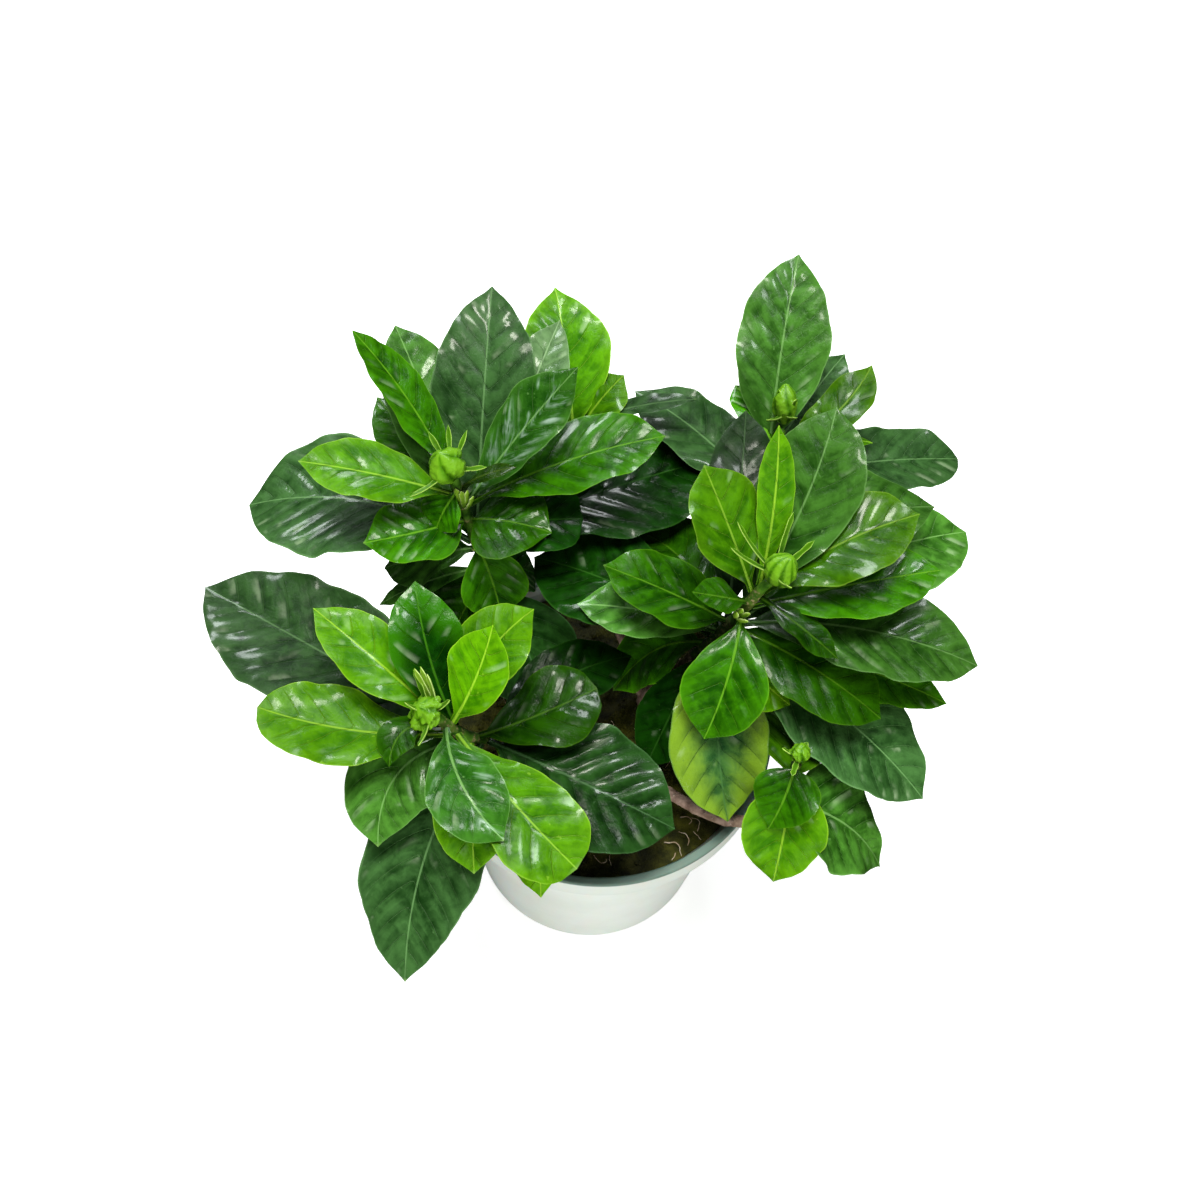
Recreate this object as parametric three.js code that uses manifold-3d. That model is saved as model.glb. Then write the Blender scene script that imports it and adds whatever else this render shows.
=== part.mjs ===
// A potted gardenia: a round plastic pot, soil, woody stems and six leafy shoots, five with a flower bud.
// Millimetres, +Z up, origin at the middle of the pot's flat base, with -Y towards the viewer.
import * as THREE from "three";
import { mergeVertices } from "three/addons/utils/BufferGeometryUtils.js";
import Module from "manifold-3d";

const wasm = await Module();
wasm.setup();

// The pot
const RIM_RADIUS = 62;
const RIM_WIDTH = 3;
const POT_HEIGHT = 110;
const BASE_RADIUS = 47.5;
const NECK_RADIUS = 55.5;
const LIP_DROP = 11;
const LIP_ROUND = 2;
const RIM_ROUND = 0.9;
const LEDGE_BELOW = 2;
const LEDGE_ABOVE = 4;
const BASE_CHAMFER = 1.5;
const WALL = 1.7;
const FLOOR = 2.6;
const DRAIN_COUNT = 8;
const DRAIN_RADIUS = 3.6;
const DRAIN_CIRCLE = 33;
const POT_SIDES = 40;
const HOLE_SIDES = 10;

// The soil
const SOIL_TOP = 101;
const SOIL_RELIEF = 1.6;
const SOIL_RINGS = [0.8, 0.55, 0.3];
const GAP = 0.3;
const ROOT_DEPTH = 34;
const CLEAR_OF_SOIL = 4;

// The stems
const WOOD_RADIUS = 2.4;
const GREEN_RADIUS = 1.9;
const GREEN_TAPER = 0.2;
const STEM_SIDES = 6;
const STEM_STEP = 8;

// The blades
const BLADE = 0.7;
const STALK_HALF = 1.2;
const STALK_THICK = 1.7;
const STALK_SHARE = 0.06;
const STALK_START = 0.8;
const TIP_HALF = 0.4;
const WAVE = 0.9;
const WAVES = 2;
const WAVE_SHIFT = 1.3;
const WAVE_HALF = 8;
const OLD_RISE = 1.05;
const YOUNG_RISE = 1.2;
const USUAL_FALL = 0.86;
const OLD_FOLD = 0.2;
const YOUNG_FOLD = 0.28;
const CURL = 0.45;
const SMALL_BLADE = 23;
const BIG_STATIONS = [0, 0.12, 0.27, 0.46, 0.66, 0.86, 1];
const SMALL_STATIONS = [0, 0.12, 0.3, 0.5, 0.7, 0.88, 1];
const BIG_COLUMNS = [-1, -0.5, 0, 0.5, 1];
const SMALL_COLUMNS = [-1, 0, 1];

// The buds
const BUD_STATIONS = [0, 0.18, 0.45, 0.72, 0.92, 1];
const BUD_SIDES = 8;
const BUD_RIDGE = 0.1;
const BUD_TWIST = 0.9;
const BUD_FOOT = 0.12;
const BUD_FOOT_RADIUS = 2;
const BUD_SPAN = 0.8;
const BUD_FULLNESS = 0.8;
const SEPAL_ROOT = 0.25;
const SEPAL_BEND = 0.12;
const SEPAL_STATIONS = [[0, 0.9], [0.6, 1.3], [1, 0.4]];

// Where the photograph was taken from: pixels of a 1200 x 1200 frame, in line with its middle
const VIEW = {
  middle: 600,
  focal: 1150,
  distance: 565,
  aim: new THREE.Vector3(-3, 117, 0),
  elevation: THREE.MathUtils.degToRad(58),
  roll: THREE.MathUtils.degToRad(-4.7),
};
const UP = new THREE.Vector3(0, 0, 1);

// The point at a height that shows at a pixel of the photograph
function seenAt([x, y], height) {
  const back = new THREE.Vector3(0, -Math.cos(VIEW.elevation), Math.sin(VIEW.elevation));
  const right = new THREE.Vector3(1, 0, 0);
  const above = back.clone().cross(right);
  const eye = VIEW.aim.clone().addScaledVector(back, VIEW.distance);
  const across = x - VIEW.middle;
  const upward = VIEW.middle - y;
  const c = Math.cos(VIEW.roll);
  const s = Math.sin(VIEW.roll);
  const ray = back.clone().negate();
  ray.addScaledVector(right, (c * across + s * upward) / VIEW.focal);
  ray.addScaledVector(above, (c * upward - s * across) / VIEW.focal);
  return eye.addScaledVector(ray, (height - eye.z) / ray.z);
}

// Shoots: the pixel and height of the tip, then the stem's bends down to where it stands in the soil.
// wood is how far below the tip the woody stem ends, and split parts the young leaves from the old ones.
const SHOOTS = {
  a: {
    tip: [454, 476], height: 182, split: 20, wood: 50,
    stem: "left", via: [[-45, 37, 152], [-29, 20, 124]],
  },
  b: {
    tip: [770, 580], height: 184, split: 20, wood: 47,
    stem: "right", via: [[38, 11, 158], [26, 10, 130]],
  },
  c: {
    tip: [783, 428], height: 178, split: 15, wood: 34,
    stem: "right", via: [[46, 70, 154], [29, 40, 128]],
  },
  d: {
    tip: [434, 716], height: 158, split: 15, wood: 34,
    stem: "left", via: [[-40, -27, 141], [-25, -12, 121]],
  },
  e: {
    tip: [797, 762], height: 151, split: 11, wood: 20,
    stem: "front", via: [[60, -41, 132], [45, -38, 117], [26, -28, 111]],
  },
  f: {
    tip: [576, 416], height: 158, split: 24, wood: 24,
    stem: "right", via: [[-14, 58, 142], [3, 34, 121]],
  },
};

// Where the woody stems stand in the soil
const FEET = {
  left: [-14, 1],
  right: [16, 11],
  front: [17, -20],
};

// Leaves: the pixel and height of the tip, how far below the shoot's tip the leaf grows, and its width.
// bow lifts the middle of the blade and sway moves it to the right, as shares of its length. roll turns it
// about its midrib, in degrees. A lower rise gives a blade a fuller base, and a lower fall a rounder end.
const LEAVES = [
  { on: "a", young: true, tip: [352, 330], height: 212, down: 8, width: 18, bow: 0, sway: 0.05, roll: 20 },
  { on: "a", young: true, tip: [298, 461], height: 188, down: 8, width: 24, bow: 0.01, sway: 0.02 },
  { on: "a", young: true, tip: [363, 543], height: 169, down: 18, width: 28, bow: 0.02, rise: 0.7, sway: -0.03 },
  { on: "a", young: true, tip: [436, 530], height: 166, down: 6, width: 18, bow: 0.1 },
  { on: "a", young: true, tip: [552, 533], height: 170, down: 18, width: 35, bow: 0.08, rise: 0.8, fall: 1 },
  { on: "a", young: true, tip: [666, 436], height: 188, down: 12, width: 29.5, bow: 0.02, sway: -0.035 },
  { on: "a", tip: [492, 286], height: 202, down: 27, width: 35, bow: 0.06 },
  { on: "a", young: true, tip: [578, 367], height: 206, down: 12, width: 23, bow: 0.03 },
  { on: "a", tip: [395, 325], height: 188, down: 27, width: 28 },
  { on: "a", tip: [377, 397], height: 172, down: 30, width: 24 },
  { on: "a", tip: [249, 505], height: 151, down: 28, width: 52, sway: 0.06, fall: 0.7 },
  { on: "a", tip: [384, 568], height: 142, down: 30, width: 24, bow: 0.04 },
  { on: "a", tip: [379, 605], height: 130, down: 38, width: 10 },
  { on: "a", tip: [502, 620], height: 138, down: 27, width: 23.5, sway: -0.02 },
  { on: "a", tip: [560, 320], height: 190, down: 31, width: 26 },
  { on: "a", tip: [722, 457], height: 156, down: 26, width: 47, bow: 0.03, fall: 0.7 },
  { on: "a", tip: [583, 519], height: 167, down: 23, width: 29, fall: 0.5, bow: 0.05 },
  { on: "a", tip: [537, 575], height: 136, down: 36, width: 23, sway: 0.02 },
  { on: "a", tip: [548, 704], height: 112, down: 44, width: 36 },
  { on: "a", tip: [452, 640], height: 120, down: 41, width: 40 },
  { on: "b", young: true, tip: [704, 465], height: 206, down: 9, width: 26, bow: 0.02 },
  { on: "b", young: true, tip: [779, 425], height: 214, down: 6, width: 11.5, bow: 0, sway: 0.03 },
  { on: "b", young: true, tip: [837, 407], height: 208, down: 13, width: 32, bow: 0.04, sway: 0.05 },
  { on: "b", young: true, tip: [920, 514], height: 194, down: 10, width: 30, bow: 0.06, sway: -0.03 },
  { on: "b", young: true, tip: [941, 570], height: 180, down: 14, width: 28, bow: 0.02 },
  { on: "b", young: true, tip: [838, 659], height: 168, down: 8, width: 11, bow: 0.04 },
  { on: "b", young: true, tip: [692, 592], height: 184, down: 12, width: 12.5, bow: 0.04, sway: -0.03 },
  { on: "b", young: true, tip: [704, 739], height: 148, down: 17, width: 27, bow: 0.1, sway: -0.04 },
  { on: "b", tip: [603, 565], height: 174, down: 24, width: 29, bow: 0.03, roll: 10, rise: 0.85 },
  { on: "b", tip: [881, 719], height: 150, down: 25, width: 31 },
  { on: "b", tip: [978, 666], height: 160, down: 24, width: 34, bow: 0.06, sway: -0.04, fall: 0.75 },
  { on: "b", tip: [966, 532], height: 153, down: 29, width: 40, sway: -0.02, fall: 0.7 },
  { on: "b", tip: [935, 507], height: 172, down: 23, width: 40, bow: 0.07, sway: -0.12 },
  { on: "b", tip: [746, 410], height: 188, down: 26, width: 24 },
  { on: "b", tip: [947, 704], height: 138, down: 33, width: 24 },
  { on: "b", tip: [923, 799], height: 122, down: 36, width: 41, sway: -0.03 },
  { on: "b", tip: [577, 604], height: 158, down: 30, width: 22 },
  { on: "b", tip: [728, 822], height: 124, down: 31, width: 33, sway: 0.05, fall: 0.95 },
  { on: "b", tip: [790, 705], height: 150, down: 28, width: 22, sway: 0.1 },
  { on: "b", tip: [613, 691], height: 118, down: 38, width: 27, bow: 0.02, sway: 0.15 },
  { on: "b", tip: [646, 766], height: 112, down: 41, width: 22, bow: 0.04 },
  { on: "b", tip: [534, 557], height: 146, down: 34, width: 40, bow: 0.08 },
  { on: "c", young: true, tip: [799, 254], height: 206, down: 10, width: 32, bow: 0.06, sway: -0.02, rise: 0.85 },
  { on: "c", young: true, tip: [872, 365], height: 190, down: 11, width: 17, sway: 0.14 },
  { on: "c", young: true, tip: [735, 385], height: 176, down: 7, width: 15 },
  { on: "c", young: true, tip: [873, 443], height: 166, down: 7, width: 8 },
  { on: "c", tip: [845, 354], height: 176, down: 20, width: 20 },
  { on: "c", tip: [635, 391], height: 162, down: 24, width: 29, rise: 0.75 },
  { on: "c", tip: [958, 459], height: 156, down: 22, width: 30, bow: 0.05, fall: 0.62 },
  { on: "d", young: true, tip: [313, 608], height: 174, down: 8, width: 21, bow: 0.03 },
  { on: "d", young: true, tip: [415, 581], height: 176, down: 12, width: 23, sway: -0.05 },
  { on: "d", young: true, tip: [534, 609], height: 172, down: 9, width: 24, bow: 0.04, sway: -0.08 },
  { on: "d", young: true, tip: [493, 625], height: 182, down: 8, width: 21, bow: 0.02, sway: 0.05 },
  { on: "d", young: true, tip: [577, 869], height: 142, down: 11, width: 29, sway: 0.04, fall: 0.5 },
  { on: "d", young: true, tip: [504, 841], height: 152, down: 6, width: 24, sway: 0.1 },
  { on: "d", young: true, tip: [389, 767], height: 153, down: 4, width: 12, sway: 0.25 },
  { on: "d", young: true, tip: [257, 707], height: 160, down: 13, width: 27, bow: -0.02, sway: -0.05, fall: 0.6 },
  { on: "d", tip: [541, 898], height: 112, down: 31, width: 22, sway: -0.06 },
  { on: "d", tip: [597, 688], height: 150, down: 21, width: 28, bow: 0.01, sway: 0.03, fall: 0.5 },
  { on: "d", tip: [205, 587], height: 146, down: 21, width: 46, bow: 0.03, sway: -0.01, fall: 0.82 },
  { on: "d", tip: [675, 829], height: 129, down: 26, width: 42, sway: 0.02 },
  { on: "d", tip: [474, 874], height: 132, down: 19, width: 24 },
  { on: "d", tip: [405, 982], height: 104, down: 26, width: 39, bow: 0.05, sway: 0.07, rise: 0.75 },
  { on: "d", tip: [378, 847], height: 132, down: 19, width: 31, sway: 0.22 },
  { on: "d", tip: [632, 656], height: 132, down: 30, width: 24, sway: -0.06 },
  { on: "e", young: true, tip: [768, 829], height: 139, down: 1, width: 21, sway: -0.04, rise: 0.5 },
  { on: "e", young: true, tip: [773, 882], height: 122, down: 6, width: 27, rise: 0.6 },
  { on: "e", tip: [880, 867], height: 105, down: 15.5, width: 37, sway: -0.06, fall: 1.0, rise: 0.5 },
  { on: "f", young: true, tip: [555, 287], height: 186, down: 10, width: 32, fall: 1.05, sway: 0.01 },
  { on: "f", young: true, tip: [624, 375], height: 172, down: 7, width: 20 },
  { on: "f", young: true, tip: [697, 399], height: 180, down: 3, width: 9, bow: 0.05 },
  { on: "b", tip: [640, 532], height: 148, down: 32, width: 36, sway: 0.09 },
  { on: "e", young: true, tip: [790, 708], height: 112, down: 8, width: 32, fall: 0.6, rise: 0.7 },
  { on: "a", young: true, tip: [517, 467], height: 190, down: 5, width: 6 },
];
const USUAL_BOW = 0.08;

// Flower buds: the length and radius of each, how far its sepals rise, the way that it points where that
// is not the stem's way, and the pixels where its sepals' tips show
const BUDS = {
  a: {
    length: 12, radius: 6.1, rise: 6, axis: [-0.26, -0.1, 0.96],
    sepals: [[428, 431], [448, 424], [467, 430], [487, 467], [409, 497]],
  },
  b: {
    length: 12, radius: 5.4, rise: 11,
    sepals: [[730, 547], [737, 521], [794, 511], [815, 540], [792, 588]],
  },
  c: {
    length: 14, radius: 4.4, rise: 8, axis: [-0.06, 0.6, 0.8],
    sepals: [[779, 389], [797, 399], [797, 418], [766, 420]],
  },
  d: {
    length: 8, radius: 5.2, rise: 9,
    sepals: [[413, 669], [404, 702], [418, 746], [450, 700]],
  },
  e: {
    length: 7, radius: 3.2, rise: 3,
    sepals: [[782, 748], [808, 742], [792, 776]],
  },
};

const COLOURS = {
  pot: { color: 0xe4e9e2, roughness: 0.45 },
  soil: { color: 0x241a12, roughness: 1 },
  wood: { color: 0x6e5a48, roughness: 0.85 },
  old: { color: 0x24502a, roughness: 0.3 },
  young: { color: 0x58981f, roughness: 0.35 },
  bud: { color: 0x8ab840, roughness: 0.5 },
};

// Turns one closed geometry into a solid that can be joined and cut
function solid(geometry) {
  const bare = geometry.index ? geometry.toNonIndexed() : geometry.clone();
  bare.deleteAttribute("normal");
  bare.deleteAttribute("uv");
  const merged = mergeVertices(bare, 1e-4);
  return new wasm.Manifold(new wasm.Mesh({
    numProp: 3,
    vertProperties: new Float32Array(merged.attributes.position.array),
    triVerts: new Uint32Array(merged.index.array),
  }));
}

function joined(geometries) {
  return geometries.map(solid).reduce((all, one) => all.add(one));
}

// The largest body of a solid, so that a scrap thrown off where blades cross is dropped
function mainBody(body) {
  const bodies = body.decompose();
  return bodies.reduce((best, one) => (one.volume() > best.volume() ? one : best));
}

function mesh(name, body, finish) {
  const { vertProperties, triVerts } = body.getMesh();
  const geometry = new THREE.BufferGeometry();
  geometry.setAttribute("position", new THREE.BufferAttribute(new Float32Array(vertProperties), 3));
  geometry.setIndex(new THREE.BufferAttribute(new Uint32Array(triVerts), 1));
  geometry.computeVertexNormals();
  const made = new THREE.Mesh(geometry, new THREE.MeshStandardMaterial({ metalness: 0, ...COLOURS[finish] }));
  made.name = name;
  return made;
}

// A stem's middle line, from its foot in the soil to its tip
function stemLine({ tip, height, via, stem }) {
  const [x, y] = FEET[stem];
  const buried = [-ROOT_DEPTH, -ROOT_DEPTH / 2, 0, CLEAR_OF_SOIL];
  const points = [
    ...buried.map((z) => new THREE.Vector3(x, y, SOIL_TOP + z)),
    ...via.toReversed().map((point) => new THREE.Vector3(...point)),
    seenAt(tip, height),
  ];
  const line = new THREE.CatmullRomCurve3(points, false, "centripetal");
  line.arcLengthDivisions = 400;
  return line;
}

// A closed blade or stem from rings of points. Each ring runs along an upper half and back along a lower
// one, every quad is split alike on both, and the ends are closed from half to half.
function skin(rings) {
  const around = rings[0].length;
  const half = around / 2;
  const positions = rings.flat().flatMap((point) => point.toArray());
  const faces = [];
  for (let ring = 0; ring < rings.length - 1; ring += 1) {
    for (let k = 0; k < around; k += 1) {
      const a = ring * around + k;
      const b = ring * around + (k + 1) % around;
      if (k < half) {
        faces.push(a, b, b + around, a, b + around, a + around);
      } else {
        faces.push(a, b, a + around, b, b + around, a + around);
      }
    }
  }
  const last = (rings.length - 1) * around;
  for (let k = 0; k < half - 1; k += 1) {
    const under = around - 1 - k;
    faces.push(k, under, under - 1, k, under - 1, k + 1);
    faces.push(last + k, last + k + 1, last + under - 1, last + k, last + under - 1, last + under);
  }
  const geometry = new THREE.BufferGeometry();
  geometry.setAttribute("position", new THREE.Float32BufferAttribute(positions, 3));
  geometry.setIndex(faces);
  return geometry;
}

// A stretch of a stem between two lengths along its line
function stretch(line, from, to, radiusFrom, radiusTo, sides = STEM_SIDES) {
  const length = line.getLength();
  const steps = Math.max(2, Math.round((to - from) / STEM_STEP));
  const rings = [];
  for (let step = 0; step <= steps; step += 1) {
    const share = step / steps;
    const at = (from + (to - from) * share) / length;
    const centre = line.getPointAt(at);
    const along = line.getTangentAt(at);
    const side = new THREE.Vector3(1, 0, 0).cross(along).normalize();
    const other = along.clone().cross(side);
    const radius = radiusFrom + (radiusTo - radiusFrom) * share;
    rings.push(Array.from({ length: sides }, (_, k) => {
      const turn = (2 * Math.PI * k) / sides;
      return centre.clone()
        .addScaledVector(side, radius * Math.cos(turn))
        .addScaledVector(other, radius * Math.sin(turn));
    }));
  }
  return skin(rings);
}

// Half the width of a blade at a share of its length: a stalk, a wedge, the widest place and a point
function halfWidth(share, { width, young, rise = young ? YOUNG_RISE : OLD_RISE, fall = USUAL_FALL }) {
  const peak = rise / (rise + fall);
  const top = peak ** rise * (1 - peak) ** fall;
  const open = Math.max(0, (share - STALK_SHARE) / (1 - STALK_SHARE));
  const spread = (width / 2) * open ** rise * (1 - open) ** fall / top;
  return Math.max(share < 0.5 ? STALK_HALF : TIP_HALF, spread);
}

// The curve of a midrib from its root, just inside the stem's near side, to its tip, and the level line
// across the blade
function midribOf(leaf, line) {
  const { tip, height, down, bow = USUAL_BOW, sway = 0 } = leaf;
  const at = 1 - down / line.getLength();
  const root = line.getPointAt(at);
  const stem = line.getTangentAt(at);
  const end = seenAt(tip, height);
  const outward = end.clone().sub(root);
  outward.addScaledVector(stem, -outward.dot(stem)).normalize();
  root.addScaledVector(outward, STALK_START);
  const chord = end.clone().sub(root);
  const side = chord.clone().setZ(0).normalize().cross(UP);
  const lift = side.clone().cross(chord).normalize();
  const crest = root.clone()
    .addScaledVector(chord, 0.5)
    .addScaledVector(lift, 2 * bow * chord.length())
    .addScaledVector(side, 2 * sway * chord.length());
  return { midrib: new THREE.QuadraticBezierCurve3(root, crest, end), side };
}

// A blade: each ring runs over its upper face from left to right and back under it
function blade(leaf, line, number) {
  const { midrib, side } = midribOf(leaf, line);
  const big = leaf.width >= SMALL_BLADE;
  const stations = big ? BIG_STATIONS : SMALL_STATIONS;
  const columns = big ? BIG_COLUMNS : SMALL_COLUMNS;
  const fold = leaf.young ? YOUNG_FOLD : OLD_FOLD;
  const rings = stations.map((share) => {
    const centre = midrib.getPoint(share);
    const along = midrib.getTangent(share);
    const across = side.clone().addScaledVector(along, -side.dot(along)).normalize()
      .applyAxisAngle(along, THREE.MathUtils.degToRad(leaf.roll ?? 0));
    const face = across.clone().cross(along);
    const half = halfWidth(share, leaf);
    const thick = BLADE + (STALK_THICK - BLADE) * Math.max(0, 1 - share / STALK_SHARE / 2);
    const upper = columns.map((column) => {
      const ripple = Math.sin(2 * Math.PI * WAVES * share + number + WAVE_SHIFT * column);
      const swell = WAVE * ripple * column * column * Math.min(1, half / WAVE_HALF);
      const rise = half * fold * (Math.abs(column) - CURL * column * column) + swell;
      return centre.clone().addScaledVector(across, half * column).addScaledVector(face, rise);
    });
    const lower = upper.toReversed().map((point) => point.clone().addScaledVector(face, -thick));
    return [...upper, ...lower];
  });
  return skin(rings);
}

// Where a bud starts, just clear of the stem's end, and the way that it points
function budAxis(line, { axis }) {
  const stem = line.getTangentAt(1);
  const along = axis ? new THREE.Vector3(...axis).normalize() : stem;
  const lean = along.angleTo(stem);
  const clear = (GAP + BUD_FOOT_RADIUS * Math.sin(lean)) / Math.cos(lean);
  return { foot: line.getPointAt(1).addScaledVector(along, clear), along };
}

// A bud: a plump body on the stem's tip, closing to a point, with ridges from its twisted petals
function budBody(line, bud) {
  const { foot, along } = budAxis(line, bud);
  const { length, radius } = bud;
  const side = new THREE.Vector3(1, 0, 0).cross(along).normalize();
  const other = along.clone().cross(side);
  const rings = BUD_STATIONS.map((share) => {
    const swell = radius * Math.sin(Math.PI * (BUD_FOOT + BUD_SPAN * share)) ** BUD_FULLNESS;
    return Array.from({ length: BUD_SIDES }, (_, k) => {
      const turn = (2 * Math.PI * k) / BUD_SIDES + BUD_TWIST * share;
      const reach = swell * (k % 2 ? 1 - BUD_RIDGE : 1);
      return foot.clone()
        .addScaledVector(along, length * share)
        .addScaledVector(side, reach * Math.cos(turn))
        .addScaledVector(other, reach * Math.sin(turn));
    });
  });
  return skin(rings);
}

// A sepal: a narrow strap that stands out of the bud's foot and ends where the photograph shows it
function sepal(line, bud, pixel) {
  const { foot, along } = budAxis(line, bud);
  const root = foot.clone().addScaledVector(along, bud.length * SEPAL_ROOT);
  const end = seenAt(pixel, root.z + bud.rise);
  const chord = end.clone().sub(root);
  const across = chord.clone().cross(along).normalize();
  const face = across.clone().cross(chord).normalize();
  const crest = root.clone()
    .addScaledVector(chord, 0.5)
    .addScaledVector(face, -SEPAL_BEND * chord.length());
  const middle = new THREE.QuadraticBezierCurve3(root, crest, end);
  const rings = SEPAL_STATIONS.map(([share, half]) => {
    const centre = middle.getPoint(share);
    const corner = (x, z) => centre.clone()
      .addScaledVector(across, x * half)
      .addScaledVector(face, z * BLADE / 2);
    return [corner(-1, 1), corner(1, 1), corner(1, -1), corner(-1, -1)];
  });
  return skin(rings);
}

// The pot's inner wall: its slope under the lip, the ledge and the mouth
const LIP_BOTTOM = POT_HEIGHT - LIP_DROP;
const MOUTH_RADIUS = RIM_RADIUS - RIM_WIDTH;
const LEDGE_RADIUS = NECK_RADIUS - WALL;

function roundSolid(outline) {
  const points = outline.map(([x, y]) => new THREE.Vector2(x, y));
  return new THREE.LatheGeometry(points, POT_SIDES).rotateX(Math.PI / 2);
}

// An upright round bar to cut a hole with, centred at a height
function upright(radius, height, x, y, z) {
  const bar = new THREE.CylinderGeometry(radius, radius, height, HOLE_SIDES).rotateX(Math.PI / 2);
  return solid(bar.translate(x, y, z));
}

// The pot: a tapering wall with a hanging lip, a flat floor and a ring of drain holes
function potBody() {
  const wall = solid(roundSolid([
    [0, 0],
    [BASE_RADIUS - BASE_CHAMFER, 0],
    [BASE_RADIUS, BASE_CHAMFER],
    [NECK_RADIUS, LIP_BOTTOM],
    [RIM_RADIUS - RIM_ROUND, LIP_BOTTOM],
    [RIM_RADIUS, LIP_BOTTOM + LIP_ROUND],
    [RIM_RADIUS, POT_HEIGHT - RIM_ROUND],
    [RIM_RADIUS - RIM_ROUND, POT_HEIGHT],
    [MOUTH_RADIUS + RIM_ROUND, POT_HEIGHT],
    [MOUTH_RADIUS, POT_HEIGHT - RIM_ROUND],
    [MOUTH_RADIUS, LIP_BOTTOM + LEDGE_ABOVE],
    [LEDGE_RADIUS, LIP_BOTTOM - LEDGE_BELOW],
    [BASE_RADIUS - WALL, FLOOR],
    [0, FLOOR],
  ]));
  const turns = Array.from({ length: DRAIN_COUNT }, (_, hole) => (2 * Math.PI * hole) / DRAIN_COUNT);
  return turns.reduce((body, turn) => {
    const [x, y] = [DRAIN_CIRCLE * Math.cos(turn), DRAIN_CIRCLE * Math.sin(turn)];
    return body.subtract(upright(DRAIN_RADIUS, 3 * FLOOR, x, y, 0));
  }, wall);
}

// How far the soil's top is off its level: low rolling lumps that die out at the pot's wall
function lumps(x, y) {
  const rolling = Math.sin(0.31 * x + 1.3) * Math.cos(0.27 * y) + 0.5 * Math.sin(0.55 * x - 0.4 * y);
  return SOIL_RELIEF * rolling * (1 - Math.hypot(x, y) / RIM_RADIUS);
}

// The soil: it fills the pot, its top is uneven, and each woody stem stands in a plain hole
function soilBody() {
  const ledge = LIP_BOTTOM - LEDGE_BELOW;
  const flare = (MOUTH_RADIUS - LEDGE_RADIUS) * (SOIL_TOP - ledge) / (LEDGE_BELOW + LEDGE_ABOVE);
  const edge = LEDGE_RADIUS + flare - 2 * GAP;
  const block = roundSolid([
    [0, FLOOR + GAP],
    [BASE_RADIUS - WALL - GAP, FLOOR + GAP],
    [LEDGE_RADIUS - GAP, ledge],
    [edge, SOIL_TOP],
    ...SOIL_RINGS.map((share) => [edge * share, SOIL_TOP]),
    [0, SOIL_TOP],
  ]);
  const places = block.attributes.position;
  for (let i = 0; i < places.count; i += 1) {
    if (places.getZ(i) > SOIL_TOP - GAP) {
      places.setZ(i, SOIL_TOP + lumps(places.getX(i), places.getY(i)));
    }
  }
  return Object.values(FEET).reduce((body, [x, y]) => {
    const hole = upright(WOOD_RADIUS + 2 * GAP, 2 * ROOT_DEPTH, x, y, SOIL_TOP - GAP);
    return body.subtract(hole);
  }, solid(block));
}

const lines = Object.fromEntries(Object.entries(SHOOTS).map(([name, shoot]) => [name, stemLine(shoot)]));

// The leaves of one shoot of one age, fused to the length of stem that they grow from
function leafySpray(name, young) {
  const line = lines[name];
  const { split, wood } = SHOOTS[name];
  const length = line.getLength();
  const from = length - (young ? split - GAP : wood - GAP);
  const to = length - (young ? 0 : split);
  const stem = stretch(line, from, to, GREEN_RADIUS, GREEN_RADIUS - GREEN_TAPER);
  const blades = LEAVES.flatMap((leaf, number) => {
    const here = leaf.on === name && Boolean(leaf.young) === young;
    return here ? [blade(leaf, line, number)] : [];
  });
  return mainBody(joined([stem, ...blades]));
}

function woodyStem(foot) {
  const branches = Object.entries(SHOOTS).filter(([, shoot]) => shoot.stem === foot);
  return joined(branches.map(([name, { wood }]) => {
    const line = lines[name];
    return stretch(line, 0, line.getLength() - wood, WOOD_RADIUS, GREEN_RADIUS);
  }));
}

function flowerBud(name) {
  const line = lines[name];
  const bud = BUDS[name];
  return joined([budBody(line, bud), ...bud.sepals.map((pixel) => sepal(line, bud, pixel))]);
}

const plant = new THREE.Group();
for (const foot of Object.keys(FEET)) {
  plant.add(mesh(`woody_stem_${foot}`, woodyStem(foot), "wood"));
}
for (const name of Object.keys(SHOOTS)) {
  if (LEAVES.some((leaf) => leaf.on === name && !leaf.young)) {
    plant.add(mesh(`shoot_${name}_old_leaves`, leafySpray(name, false), "old"));
  }
  plant.add(mesh(`shoot_${name}_young_leaves`, leafySpray(name, true), "young"));
}
for (const name of Object.keys(BUDS)) {
  plant.add(mesh(`flower_bud_${name}`, flowerBud(name), "bud"));
}

const gardenia = new THREE.Group();
gardenia.add(mesh("pot", potBody(), "pot"), mesh("soil", soilBody(), "soil"), plant);
export default gardenia;
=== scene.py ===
import math
from contextlib import contextmanager

import bpy
import numpy as np
from mathutils import Matrix, Vector, noise


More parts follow.
